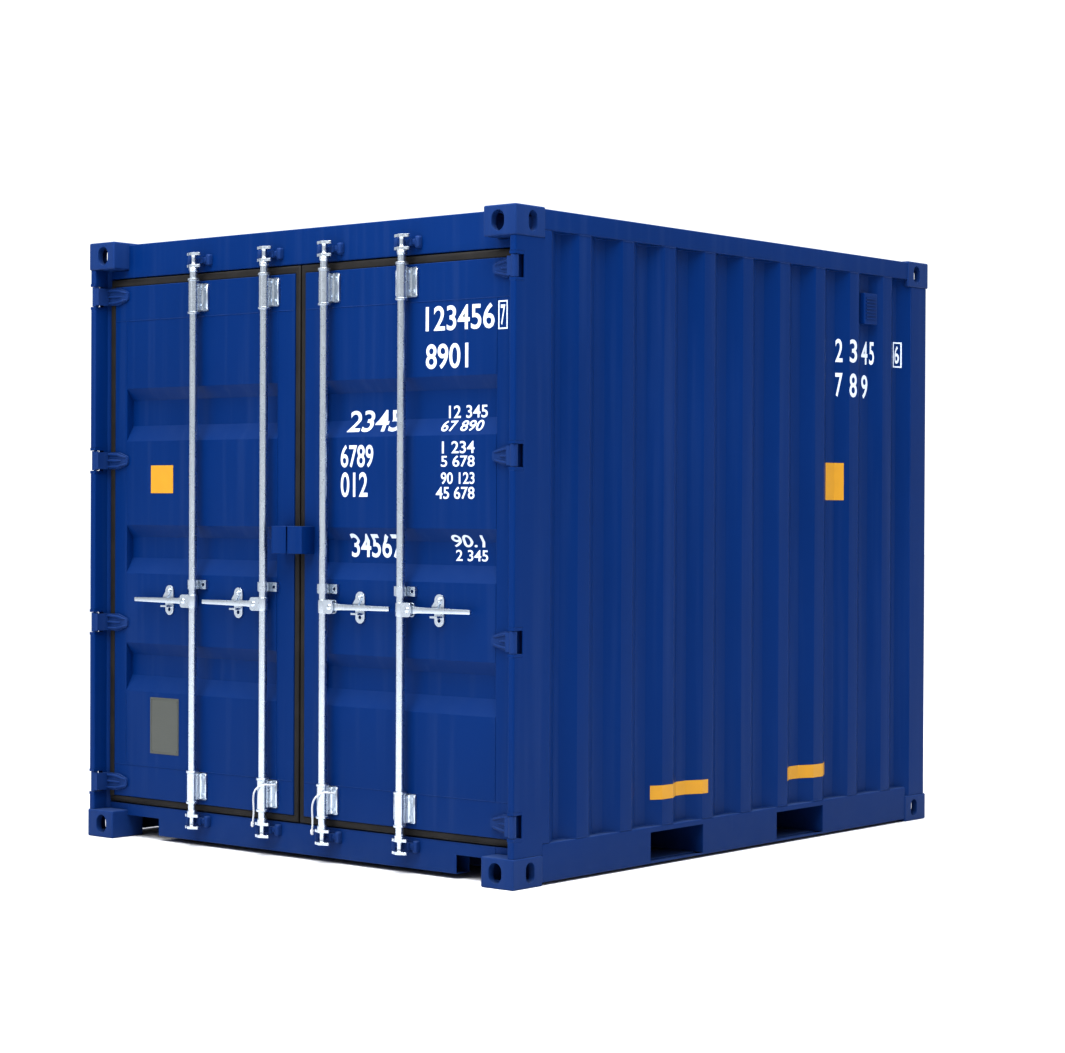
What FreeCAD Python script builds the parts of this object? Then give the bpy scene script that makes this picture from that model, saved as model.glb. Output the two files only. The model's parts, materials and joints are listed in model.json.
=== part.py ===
"""Ten-foot steel shipping container with two hinged doors, four lock rods and four handles.

Millimetres. X runs along the container with the door end at -X, Y across it, Z up.
The origin is on the ground, in the middle of the base.
"""
import FreeCAD, Part
import math
import os

Vector = FreeCAD.Vector

# ---- overall box: the outer faces of the corner castings ----
length = 2991.0
width = 2438.0
height = 2591.0

# ---- corner castings ----
casting_length = 178.0
casting_width = 162.0
casting_height = 118.0
casting_outer_wall = 28.5
casting_inner_wall = 12.0
casting_edge_radius = 7.0
slot_from_end = 102.0
slot_from_side = 89.5
slot_length = 124.0
slot_width = 63.5
end_hole_width = 63.5
side_hole_width = 51.0
face_hole_height = 79.4

# ---- frame members ----
frame_inset = 4.0
post_plate = 6.0
door_post_front = 31.0
door_post_step = 14.0
door_post_step_depth = 86.0
door_post_depth = 164.0
door_post_side = 216.5
blind_post_side = 140.5
blind_post_end = 145.0
bend_radius = 8.0
inner_bend = 2.0
tube_corner = 5.0
tube_inner_corner = 2.0
cut_past = 1.0
top_rail_height = 80.0
top_rail_width = 60.0
top_rail_wall = 3.0
top_rail_drop = 6.0
bottom_rail_height = 150.0
bottom_rail_width = 48.0
bottom_rail_wall = 4.5
bottom_rail_lift = 11.0
end_rail_height = 60.0
end_rail_depth = 60.0
end_bottom_depth = 50.0
header_recess = 88.0
header_depth = 80.0
header_height = 146.0
header_drop = 8.0
header_wall = 4.0
sill_bottom = 20.0
sill_top = 145.0
sill_notch_width = 200.0
sill_notch_height = 75.0

# ---- corrugated sheets ----
sheet = 2.0
sheet_inset = 6.0
sheet_bend = 3.0
side_pitch = 277.0
side_flat = 72.0
side_slope = 68.0
side_depth = 36.0
end_pitch = 250.0
end_flat = 110.0
end_slope = 18.0
end_depth = 45.6
end_sheet_inset = 6.0
roof_pitch = 209.0
roof_slope = 34.0
roof_flat = 72.0
roof_depth = 20.0
roof_drop = 8.0

# ---- floor ----
floor_top = 170.0
board_thickness = 28.0
board_joint = 2.0
board_count = 3
member_height = 122.0
member_flange = 45.0
member_wall = 4.0
member_places = (-720.0, -180.0, 0.0, 180.0, 720.0)
end_members = (315.5, 565.5)
pocket_offset = 450.0
pocket_width = 360.0
pocket_top = 138.0
pocket_bottom = 20.0
pocket_strap_width = 200.0
pocket_strap = 6.0

# ---- vents ----
vent_width = 110.0
vent_height = 140.0
vent_drop = 241.0
vent_clearance = 0.5
vent_corner = 5.0

# ---- doors ----
door_recess = 80.0
leaf_depth = 50.0
leaf_side_gap = 10.0
leaf_seam = 30.0
leaf_bottom = 178.0
leaf_top_drop = 191.0
stile_width = 100.0
top_stile_height = 150.0
bottom_stile_height = 140.0
door_sheet_depth = 36.0
door_slope_upper = 52.0
door_slope_lower = 68.0
# Middle of each pressed recess as a share of the overall height, and its height.
door_recesses = ((0.2875, 210.0), (0.4851, 210.0), (0.7102, 230.0))
gasket_gap = 5.0
gasket_seam_gap = 4.0
gasket_rear_gap = 9.0
gasket_front = 3.0
gasket_front_depth = 15.0

# ---- hinges ----
pin_setback = 20.0
pin_inset = 21.0
pin_radius = 7.0
pin_clearance = 0.5
knuckle_radius = 15.0
knuckle_height = 84.0
hinge_top_drop = 233.0
hinge_bottom = 238.0
hinge_shares = (1.0, 0.6623, 0.3292, 0.0)
lug_thickness = 12.0
lug_opening = 88.0
notch_depth = 52.0
arm_start = 19.0
arm_thickness = 11.0
arm_height = 74.0
neck_half = 11.0
lug_setback = 1.0
blade_reach = 134.0
blade_thickness = 10.0
blade_shoulder = 74.0
blade_shoulder_radius = 30.0
blade_tip_half = 17.0
blade_tip_radius = 14.0

# ---- lock rods ----
rod_radius = 17.0
rod_setback = 44.0
outer_rod_share = 0.5155
inner_rod_share = 0.1491
cam_plate = 12.0
cam_gap = 38.0
cam_neck_radius = 10.0
cam_reach = 39.0
cam_tip_radius = 9.0
cam_prong_root = 15.0
cam_root_radius = 21.0
cam_collar_radius = 21.0
cam_collar_height = 16.0
top_cam_drop = 105.0
bottom_cam_centre = 109.0
keeper_base = 6.0
keeper_width = 70.0
horn_width = 13.0
horn_offset = 24.0
horn_reach = 26.0
moving_gap = 5.0

# ---- rod brackets on the doors ----
sleeve_radius = 22.0
sleeve_clearance = 0.5
upper_sleeve_drop = (334.0, 183.0)
lower_sleeve = (185.0, 325.0)
upper_plate_drop = (321.0, 203.0)
lower_plate = (200.0, 315.0)
plate_width = 116.0
plate_thickness = 8.0
plate_corner = 10.0
web_width = 18.0
middle_bracket_drop = (58.0, 20.0)
middle_width = 112.0
middle_thickness = 14.0
middle_hole_offset = 40.0
bracket_hole_radius = 7.0

# ---- handles and catches ----
handle_below_recess = 110.0
handle_tip_gap = 60.0
handle_thickness = 12.0
handle_root_height = 32.0
handle_tip_height = 18.0
handle_waist = 60.0
handle_waist_rise = 3.0
handle_tip_corner = 6.0
hub_radius = 24.0
hub_height = 56.0
hub_pin_offset = 46.0
hub_pin_radius = 7.0
hub_eye_radius = 16.0
hub_reach = 66.0
hub_corner = 14.0
hub_ear = 8.0
hub_side_gap = 1.0
catch_offset = 178.0
catch_width = 50.0
catch_height = 128.0
catch_thickness = 8.0
catch_hole_radius = 8.0
catch_shelf_depth = 34.0
catch_shelf = 8.0
catch_shelf_inset = 6.0
hasp_thickness = 6.0
hasp_length = 62.0
hasp_width = 26.0
hasp_angle = 38.0
rivet_radius = 6.0
rivet_head = 4.0

# ---- lock box, data plate and ropes ----
box_half_width = 87.0
box_bottom = 1253.0
box_top = 1365.0
box_front = 6.0
box_wall = 4.0
box_seam_gap = 4.0
data_plate_width = 180.0
data_plate_bottom = 376.0
data_plate_top = 619.0
data_plate_centre = 812.0
data_plate_thickness = 1.5
rope_radius = 4.0
knot_radius = 8.0
knot_length = 24.0
knot_round = 3.0
# Places along a tie-back rope: behind the rod's axis, to the left of it, and height.
rope_routes = {
    "left": (
        (28.0, -46.0, 296.0), (2.0, -46.0, 296.0), (-21.0, -35.0, 302.0), (-34.0, -11.0, 292.0),
        (-32.0, 15.0, 272.0), (-18.0, 36.0, 244.0), (-8.0, 44.0, 206.0), (-3.0, 47.0, 170.0),
        (0.0, 56.0, 138.0),
    ),
    "right": (
        (28.0, -46.0, 290.0), (2.0, -46.0, 290.0), (-21.0, -36.0, 297.0), (-34.0, -12.0, 286.0),
        (-33.0, 14.0, 266.0), (-20.0, 38.0, 240.0), (-9.0, 49.0, 203.0), (-4.0, 50.0, 168.0),
        (-2.0, 55.0, 136.0),
    ),
}

# ---- places worked out from the sizes above ----
end_x = length / 2.0
side_y = width / 2.0
door_x = -end_x
post_front = door_x + frame_inset
post_side = side_y - frame_inset
casting_inner_x = end_x - casting_length
casting_inner_y = side_y - casting_width
slot_centre_x = end_x - slot_from_end
slot_centre_y = side_y - slot_from_side
top_of_bottom_casting = casting_height
bottom_of_top_casting = height - casting_height
top_rail_top = height - top_rail_drop
top_rail_bottom = top_rail_top - top_rail_height
bottom_rail_top = bottom_rail_lift + bottom_rail_height
floor_bottom = floor_top - board_thickness
header_front = door_x + header_recess
header_back = header_front + header_depth
header_top = height - header_drop
header_bottom = header_top - header_height
leaf_front = door_x + door_recess
leaf_back = leaf_front + leaf_depth
lip_inner = post_side - door_post_front
jamb_inner = lip_inner - door_post_step
jamb_front = post_front + door_post_step_depth
post_back = post_front + door_post_depth
door_post_end = post_front + door_post_side
blind_post_start = end_x - frame_inset - blind_post_side
blind_post_inner = post_side - blind_post_end
wall_outer = side_y - sheet_inset
leaf_edge = jamb_inner - leaf_side_gap
leaf_top = height - leaf_top_drop
vent_centre_height = height - vent_drop
hinge_span = height - hinge_top_drop - hinge_bottom
hinge_heights = [hinge_bottom + share * hinge_span for share in hinge_shares]
outer_rod_y = outer_rod_share * leaf_edge
inner_rod_y = inner_rod_share * leaf_edge
rod_offsets = {
    "left_outer": outer_rod_y,
    "left_inner": inner_rod_y,
    "right_inner": -inner_rod_y,
    "right_outer": -outer_rod_y,
}
handle_reach = outer_rod_y - inner_rod_y - handle_tip_gap
middle_recess_bottom = door_recesses[1][0] * height - door_recesses[1][1] / 2.0
handle_height = middle_recess_bottom - handle_below_recess
middle_bracket = [middle_recess_bottom - drop for drop in middle_bracket_drop]
top_cam_centre = height - top_cam_drop
upper_sleeve = [height - drop for drop in upper_sleeve_drop]
upper_plate = [height - drop for drop in upper_plate_drop]
side_wall_run = blind_post_start - door_post_end
side_flats = int((side_wall_run - side_flat - 2.0 * side_slope) // side_pitch) + 1
end_wall_outer = end_x - end_sheet_inset
end_rail_outer = end_x - frame_inset
roof_top = height - roof_drop
pin_x = door_x + pin_setback
pin_y = side_y - pin_inset
rod_x = door_x + rod_setback


def point(plane, u, v, w):
    """A point given in a drawing plane (u, v) and its distance w along the normal."""
    if plane == "xy":
        return Vector(u, v, w)
    if plane == "yz":
        return Vector(w, u, v)
    return Vector(u, w, v)


def round_corner(before, corner, after, radius):
    """Start, middle and end of the arc that rounds one corner of an outline."""
    a = (before[0] - corner[0], before[1] - corner[1])
    b = (after[0] - corner[0], after[1] - corner[1])
    la = math.hypot(*a)
    lb = math.hypot(*b)
    ua = (a[0] / la, a[1] / la)
    ub = (b[0] / lb, b[1] / lb)
    half = math.acos(max(-1.0, min(1.0, ua[0] * ub[0] + ua[1] * ub[1]))) / 2.0
    cut = min(radius / math.tan(half), 0.49 * min(la, lb))
    real = cut * math.tan(half)
    start = (corner[0] + ua[0] * cut, corner[1] + ua[1] * cut)
    end = (corner[0] + ub[0] * cut, corner[1] + ub[1] * cut)
    axis = (ua[0] + ub[0], ua[1] + ub[1])
    la = math.hypot(*axis)
    reach = real / math.sin(half) - real
    middle = (corner[0] + axis[0] / la * reach, corner[1] + axis[1] / la * reach)
    return start, middle, end


def outline_wire(corners, plane, level):
    """Closed wire through corners (u, v) or (u, v, radius)."""
    pieces = []
    count = len(corners)
    for i, corner in enumerate(corners):
        if len(corner) == 3 and corner[2] > 0.0:
            pieces.append(round_corner(corners[i - 1], corner, corners[(i + 1) % count], corner[2]))
        else:
            pieces.append((corner[:2],))
    edges = []
    for i, piece in enumerate(pieces):
        if len(piece) == 3:
            places = [point(plane, p[0], p[1], level) for p in piece]
            edges.append(Part.Arc(*places).toShape())
        start = point(plane, piece[-1][0], piece[-1][1], level)
        following = pieces[(i + 1) % count][0]
        end = point(plane, following[0], following[1], level)
        if start.distanceToPoint(end) > 1e-6:
            edges.append(Part.LineSegment(start, end).toShape())
    return Part.Wire(edges)


def prism(corners, plane, low, high):
    """Outline in a plane, extruded from low to high along the plane's normal."""
    face = Part.Face(outline_wire(corners, plane, low))
    return face.extrude(point(plane, 0.0, 0.0, high - low))


def block(x, y, z):
    """Box between pairs of coordinates, given in either order."""
    low = [min(pair) for pair in (x, y, z)]
    size = [abs(pair[1] - pair[0]) for pair in (x, y, z)]
    return Part.makeBox(size[0], size[1], size[2], Vector(*low))


def rod(radius, start, end):
    """Round bar between two points."""
    direction = end.sub(start)
    return Part.makeCylinder(radius, direction.Length, start, direction)


def fold(path, thickness, radius=0.0):
    """Outline of a folded sheet: a path and its copy on the left, thickness away."""
    offset = []
    count = len(path)
    for i, here in enumerate(path):
        before = path[i - 1] if i > 0 else None
        after = path[i + 1] if i < count - 1 else None
        normals = []
        for a, b in ((before, here), (here, after)):
            if a is not None and b is not None:
                run = math.hypot(b[0] - a[0], b[1] - a[1])
                normals.append(((a[1] - b[1]) / run, (b[0] - a[0]) / run))
        nx = sum(n[0] for n in normals) / len(normals)
        ny = sum(n[1] for n in normals) / len(normals)
        scale = thickness / (nx * nx + ny * ny)
        turn = 0.0
        if len(normals) == 2:
            turn = normals[0][0] * normals[1][1] - normals[0][1] * normals[1][0]
        offset.append((here[0] + nx * scale, here[1] + ny * scale, turn))
    near = []
    far = []
    for i, here in enumerate(path):
        turn = offset[i][2]
        inner = radius if abs(turn) > 1e-9 else 0.0
        outer = radius + thickness if inner else 0.0
        near.append((here[0], here[1], outer if turn > 0 else inner))
        far.append((offset[i][0], offset[i][1], inner if turn > 0 else outer))
    return near + far[::-1]


def mirror_y(shape):
    """The same piece on the other side of the middle plane."""
    return shape.mirror(Vector(0, 0, 0), Vector(0, 1, 0))


def both_sides(shapes):
    """Pieces and their mirror images across the middle plane."""
    return shapes + [mirror_y(shape) for shape in shapes]


def fuse(shapes):
    """One solid from several that touch or overlap."""
    joined = shapes[0].fuse(shapes[1:]).removeSplitter()
    return joined


def write(node, shapes):
    """Save the solids of one node."""
    solids = []
    for shape in shapes:
        solids.extend(shape.Solids)
    result = solids[0] if len(solids) == 1 else Part.makeCompound(solids)
    result.exportStep("parts/" + node + ".step")
    for solid in solids:
        if not solid.isValid():
            print("not valid:", node)
    print("%-28s %2d solids  %9.4f litres" % (node, len(solids), sum(s.Volume for s in solids) / 1e6))


# ---------------------------------------------------------------- castings

def stadium(plane, centre, size, low, high):
    """Bar with a slot's outline: two half-round ends and a straight middle."""
    across = size.index(min(size))
    radius = size[across] / 2.0
    run = size[1 - across] / 2.0 - radius
    ends = []
    for direction in (-1, 1):
        place = list(centre)
        place[1 - across] += direction * run
        start = point(plane, place[0], place[1], low)
        ends.append(rod(radius, start, point(plane, place[0], place[1], high)))
    half = [radius, radius]
    half[1 - across] = run
    middle = prism([
        (centre[0] - half[0], centre[1] - half[1]),
        (centre[0] + half[0], centre[1] - half[1]),
        (centre[0] + half[0], centre[1] + half[1]),
        (centre[0] - half[0], centre[1] + half[1]),
    ], plane, low, high)
    return fuse([middle] + ends)


def casting(end_sign, side_sign, bottom, top_fitting):
    """Hollow corner casting with a slot and two face holes."""
    x = (end_sign * end_x, end_sign * casting_inner_x)
    y = (side_sign * side_y, side_sign * casting_inner_y)
    top = bottom + casting_height
    body = block(x, y, (bottom, top))
    body = body.makeFillet(casting_edge_radius, body.Edges)
    low_wall = casting_inner_wall if top_fitting else casting_outer_wall
    high_wall = casting_outer_wall if top_fitting else casting_inner_wall
    inside = block(
        (x[0] - end_sign * casting_outer_wall, x[1] + end_sign * casting_inner_wall),
        (y[0] - side_sign * casting_outer_wall, y[1] + side_sign * casting_inner_wall),
        (bottom + low_wall, top - high_wall),
    )
    slot_x = end_sign * slot_centre_x
    slot_y = side_sign * slot_centre_y
    slot_low = top - high_wall - cut_past if top_fitting else bottom - cut_past
    slot_high = slot_low + casting_outer_wall + 2.0 * cut_past
    slot = stadium("xy", (slot_x, slot_y), (slot_length, slot_width), slot_low, slot_high)
    middle = bottom + casting_height / 2.0
    through = casting_outer_wall + cut_past
    end_range = sorted((x[0] + end_sign * cut_past, x[0] - end_sign * through))
    end_hole = stadium("yz", (slot_y, middle), (end_hole_width, face_hole_height), *end_range)
    side_range = sorted((y[0] + side_sign * cut_past, y[0] - side_sign * through))
    side_hole = stadium("xz", (slot_x, middle), (side_hole_width, face_hole_height), *side_range)
    return body.cut([inside, slot, end_hole, side_hole])


def make_castings():
    for node, bottom, top_fitting in (
        ("corner_castings_top", bottom_of_top_casting, True),
        ("corner_castings_bottom", 0.0, False),
    ):
        shapes = []
        for end_sign in (-1, 1):
            for side_sign in (-1, 1):
                shapes.append(casting(end_sign, side_sign, bottom, top_fitting))
        write(node, shapes)


# ---------------------------------------------------------------- posts, rails, header and sill

def door_post():
    """Door-end corner post on the +Y side, notched for its hinges."""
    outer = [
        (post_front, post_side, bend_radius),
        (post_front, lip_inner, bend_radius),
        (jamb_front - door_post_step, lip_inner),
        (jamb_front, jamb_inner),
        (post_back, jamb_inner),
        (post_back, post_side),
    ]
    t = post_plate
    inner = [
        (post_front + t, post_side - t, inner_bend),
        (post_front + t, lip_inner + t, inner_bend),
        (jamb_front - door_post_step + t, lip_inner + t),
        (jamb_front + t, jamb_inner + t),
        (post_back - t, jamb_inner + t),
        (post_back - t, post_side - t),
    ]
    low = top_of_bottom_casting
    high = bottom_of_top_casting
    box = prism(outer, "xy", low, high).cut(prism(inner, "xy", low, high))
    inner_y = post_side - t
    strip = block((post_back, -casting_inner_x), (inner_y, post_side), (low, high))
    lap = block((-casting_inner_x, door_post_end), (inner_y, post_side), (bottom_rail_top, top_rail_bottom))
    post = fuse([box, strip, lap])
    half = lug_opening / 2.0 + lug_thickness
    notches = []
    for z in hinge_heights:
        notches.append(block(
            (post_front - cut_past, post_front + notch_depth),
            (lip_inner - cut_past, post_side + cut_past),
            (z - half, z + half),
        ))
    return post.cut(notches)


def blind_post():
    """Blind-end corner post on the +Y side: one folded plate."""
    path = [
        (blind_post_start, post_side - post_plate),
        (end_rail_outer - post_plate, post_side - post_plate),
        (end_rail_outer - post_plate, blind_post_inner),
    ]
    return prism(fold(path, post_plate, bend_radius), "xy", top_of_bottom_casting, bottom_of_top_casting)


def tube(u, v, wall, plane, low, high):
    """Rectangular tube between pairs of coordinates, open at its ends."""
    outlines = []
    for inset, radius in ((0.0, tube_corner), (wall, tube_inner_corner)):
        left = u[0] + inset
        right = u[1] - inset
        low_v = v[0] + inset
        high_v = v[1] - inset
        outline = [
            (left, low_v, radius),
            (right, low_v, radius),
            (right, high_v, radius),
            (left, high_v, radius),
        ]
        outlines.append(prism(outline, plane, low, high))
    return outlines[0].cut(outlines[1])


def side_top_rail():
    """Square-edged tube along the top of one side, between the castings."""
    across = (post_side - top_rail_width, post_side)
    upright = (top_rail_bottom, top_rail_top)
    return tube(across, upright, top_rail_wall, "yz", -casting_inner_x, casting_inner_x)


def side_bottom_rail():
    """Channel open to the inside, cut for the two fork pockets."""
    low = bottom_rail_lift
    high = bottom_rail_top
    path = [
        (post_side - bottom_rail_width, low),
        (post_side, low),
        (post_side, high),
        (post_side - bottom_rail_width, high),
    ]
    rail = prism(fold(path, bottom_rail_wall, inner_bend), "yz", -casting_inner_x, casting_inner_x)
    cuts = []
    for x in (-pocket_offset, pocket_offset):
        cuts.append(block(
            (x - pocket_width / 2.0, x + pocket_width / 2.0),
            (post_side - bottom_rail_wall - cut_past, post_side + cut_past),
            (pocket_bottom, pocket_top),
        ))
    return rail.cut(cuts)


def door_header():
    """Door header: a tube between the castings, and a lower tube that runs on under them."""
    x = (header_front, header_back)
    main = tube(x, (header_bottom, header_top), header_wall, "xz", -casting_inner_y, casting_inner_y)
    shoulders = []
    for side_sign in (-1, 1):
        start = side_sign * casting_inner_y
        end = side_sign * jamb_inner
        shoulders.append(tube(
            x, (header_bottom, bottom_of_top_casting), header_wall, "xz", min(start, end), max(start, end),
        ))
    return fuse([main] + shoulders)


def door_sill():
    """Door sill: a tube between the castings, notched beside them, with shoulders over them."""
    x = (header_front, header_back)
    main = tube(x, (sill_bottom, sill_top), header_wall, "xz", -casting_inner_y, casting_inner_y)
    notch_top = sill_bottom + sill_notch_height
    cuts = []
    for side_sign in (-1, 1):
        start = side_sign * (casting_inner_y + cut_past)
        end = side_sign * (casting_inner_y - sill_notch_width)
        across = (x[0] - cut_past, x[1] + cut_past)
        cuts.append(block(across, (start, end), (sill_bottom - cut_past, notch_top)))
    pieces = [main.cut(cuts)]
    shoulders = []
    for side_sign in (-1, 1):
        start = side_sign * casting_inner_y
        inner = side_sign * (casting_inner_y - sill_notch_width)
        end = side_sign * jamb_inner
        pieces.append(block(x, (start, inner), (notch_top, notch_top + header_wall)))
        shoulders.append(block(x, (start, end), (top_of_bottom_casting, sill_top)))
    return [fuse(pieces)] + shoulders


def end_top_rail():
    """Tube along the top of the blind end, between the castings."""
    x = (end_rail_outer - end_rail_depth, end_rail_outer)
    z = (roof_top - end_rail_height, roof_top)
    return tube(x, z, top_rail_wall, "xz", -casting_inner_y, casting_inner_y)


def end_bottom_rail():
    """Channel open to the inside, under the end wall."""
    path = [
        (end_rail_outer - end_bottom_depth, bottom_rail_lift),
        (end_rail_outer, bottom_rail_lift),
        (end_rail_outer, bottom_rail_top),
        (end_rail_outer - end_bottom_depth, bottom_rail_top),
    ]
    return prism(fold(path, bottom_rail_wall, inner_bend), "xz", -casting_inner_y, casting_inner_y)


def make_frame():
    post = door_post()
    write("door_post_left", [post])
    write("door_post_right", [mirror_y(post)])
    post = blind_post()
    write("blind_post_left", [post])
    write("blind_post_right", [mirror_y(post)])
    rail = side_top_rail()
    write("side_top_rail_left", [rail])
    write("side_top_rail_right", [mirror_y(rail)])
    rail = side_bottom_rail()
    write("side_bottom_rail_left", [rail])
    write("side_bottom_rail_right", [mirror_y(rail)])
    write("door_header", [door_header()])
    write("door_sill", door_sill())
    write("end_top_rail", [end_top_rail()])
    write("end_bottom_rail", [end_bottom_rail()])


# ---------------------------------------------------------------- walls and roof

def wave(start, end, pitch, flat, slope, depth, flats, level, direction):
    """Path of a corrugated sheet: end recesses, and raised flats at an even pitch between them."""
    first = (start + end - (flats - 1) * pitch - flat) / 2.0
    low = level + direction * depth
    path = [(start, level), (start + slope, low)]
    for i in range(flats):
        left = first + i * pitch
        path += [(left - slope, low), (left, level), (left + flat, level), (left + flat + slope, low)]
    path += [(end - slope, low), (end, level)]
    return path


def side_wall():
    """Corrugated side wall on the +Y side."""
    inner_level = wall_outer - sheet
    path = wave(
        door_post_end, blind_post_start, side_pitch, side_flat, side_slope, side_depth,
        side_flats, inner_level, -1.0,
    )
    wall = prism(fold(path, sheet, sheet_bend), "xy", top_of_bottom_casting, top_rail_bottom)
    y = (0.0, side_y)
    under_rail = block((-end_x, casting_inner_x), y, (0.0, bottom_rail_top))
    over_casting = block((casting_inner_x, end_x), y, (bottom_of_top_casting, height))
    return wall.cut([under_rail, over_casting])


def end_wall():
    """Corrugated blind end between the two posts."""
    span = blind_post_inner
    flats = int((2.0 * span - end_slope) // end_pitch)
    inner_level = end_wall_outer - sheet
    path = wave(-span, span, end_pitch, end_flat, end_slope, end_depth, flats, inner_level, -1.0)
    turned = [(p[1], -p[0]) for p in path]
    top = roof_top - end_rail_height
    wall = prism(fold(turned, sheet, sheet_bend), "xy", top_of_bottom_casting, top)
    cuts = [block((0.0, end_x), (-casting_inner_y, casting_inner_y), (0.0, bottom_rail_top))]
    for side_sign in (-1, 1):
        y = (side_sign * casting_inner_y, side_sign * side_y)
        cuts.append(block((0.0, end_x), y, (bottom_of_top_casting, height)))
    return wall.cut(cuts)


def roof_panel():
    """Roof with pressed ribs across it, welded from a main sheet and a strip at each end."""
    start = header_back
    end = end_rail_outer - end_rail_depth
    flats = int((end - start - roof_flat) // roof_pitch)
    level = roof_top - sheet
    path = wave(start, end, roof_pitch, roof_flat, roof_slope, roof_depth, flats, level, -1.0)
    half = post_side - top_rail_width
    whole = prism(fold(path, sheet, sheet_bend), "xz", -half, half)
    sheets = []
    for low, high, reach in (
        (start, -casting_inner_x, casting_inner_y),
        (-casting_inner_x, casting_inner_x, half),
        (casting_inner_x, end, casting_inner_y),
    ):
        sheets.append(whole.common(block((low, high), (-reach, reach), (0.0, height))))
    return sheets


def vent(x):
    """Ventilator housing set in one recess of the side wall."""
    recess_level = wall_outer - side_depth + vent_clearance
    half = vent_width / 2.0
    recess_half = (side_pitch - side_flat) / 2.0 - side_slope
    on_slope = recess_level + (half - recess_half) / side_slope * side_depth
    outline = [
        (x - recess_half, recess_level),
        (x + recess_half, recess_level),
        (x + half, on_slope),
        (x + half, wall_outer, vent_corner),
        (x - half, wall_outer, vent_corner),
        (x - half, on_slope),
    ]
    z = vent_centre_height
    return prism(outline, "xy", z - vent_height / 2.0, z + vent_height / 2.0)


def make_shell():
    wall = side_wall()
    write("side_wall_left", [wall])
    write("side_wall_right", [mirror_y(wall)])
    write("end_wall", [end_wall()])
    write("roof_panel", roof_panel())
    middle = (door_post_end + blind_post_start) / 2.0
    place = middle + (side_flats / 2.0 - 1.0) * side_pitch
    write("side_vents", both_sides([vent(place)]))


# ---------------------------------------------------------------- floor

def channel(x, opens, low, half_span):
    """Floor cross member across the container, web at x, flanges towards the given side."""
    high = floor_bottom
    path = [
        (x + opens * member_flange, low),
        (x, low),
        (x, high),
        (x + opens * member_flange, high),
    ]
    thickness = -opens * member_wall
    return prism(fold(path, thickness), "xz", -half_span, half_span)


def make_floor():
    span = post_side - bottom_rail_wall
    low = floor_bottom - member_height
    places = list(member_places)
    for from_end in end_members:
        places += [from_end - end_x, end_x - from_end]
    members = [channel(x, 1.0, low, span) for x in sorted(places)]
    write("floor_cross_members", members)
    pockets = []
    for x in (-pocket_offset, pocket_offset):
        left = x - pocket_width / 2.0
        right = x + pocket_width / 2.0
        pockets.append(fuse([
            channel(left, -1.0, low, span),
            channel(right, 1.0, low, span),
            block((left, right), (-span, span), (pocket_top, floor_bottom)),
        ]))
        for side_sign in (-1, 1):
            outer = side_sign * (span - bottom_rail_width + bottom_rail_wall)
            inner = side_sign * (span - pocket_strap_width)
            upright = (pocket_bottom - pocket_strap, pocket_bottom)
            pockets.append(block((left, right), (outer, inner), upright))
    write("fork_pockets", pockets)
    start = header_back
    end = end_rail_outer - end_bottom_depth
    run = (end - start - (board_count - 1) * board_joint) / board_count
    half = post_side - bottom_rail_width - board_joint
    boards = []
    for i in range(board_count):
        x = start + i * (run + board_joint)
        boards.append(block((x, x + run), (-half, half), (floor_bottom, floor_top)))
    write("floor_boards", boards)


# ---------------------------------------------------------------- door leaves

def leaf_frame():
    """Welded frame of the +Y leaf."""
    outer = block((leaf_front, leaf_back), (leaf_seam, leaf_edge), (leaf_bottom, leaf_top))
    window = block(
        (leaf_front - cut_past, leaf_back + cut_past),
        (leaf_seam + stile_width, leaf_edge - stile_width),
        (leaf_bottom + bottom_stile_height, leaf_top - top_stile_height),
    )
    return outer.cut(window)


def leaf_panel():
    """Door sheet with three pressed horizontal recesses."""
    bottom = leaf_bottom + bottom_stile_height
    top = leaf_top - top_stile_height
    front = leaf_front
    back = leaf_front + door_sheet_depth
    path = [(front, bottom)]
    for share, size in door_recesses:
        low = share * height - size / 2.0
        high = low + size
        path += [(front, low), (back, low + door_slope_lower), (back, high - door_slope_upper), (front, high)]
    path.append((front, top))
    outline = fold(path, -sheet, sheet_bend)
    return prism(outline, "xz", leaf_seam + stile_width, leaf_edge - stile_width)


def leaf_gasket():
    """Rubber seal around the leaf: a front lip and a body behind it."""
    front = leaf_front + gasket_front
    lip_back = front + gasket_front_depth
    top = header_bottom - gasket_gap
    bottom = sill_top + gasket_gap
    outer_edge = jamb_inner - gasket_gap
    lip = block((front, lip_back), (gasket_seam_gap, outer_edge), (bottom, top))
    body = block((lip_back, leaf_back), (gasket_rear_gap, outer_edge), (bottom, top))
    hole = block((front - cut_past, leaf_back + cut_past), (leaf_seam, leaf_edge), (leaf_bottom, leaf_top))
    return fuse([lip, body]).cut(hole)


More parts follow.
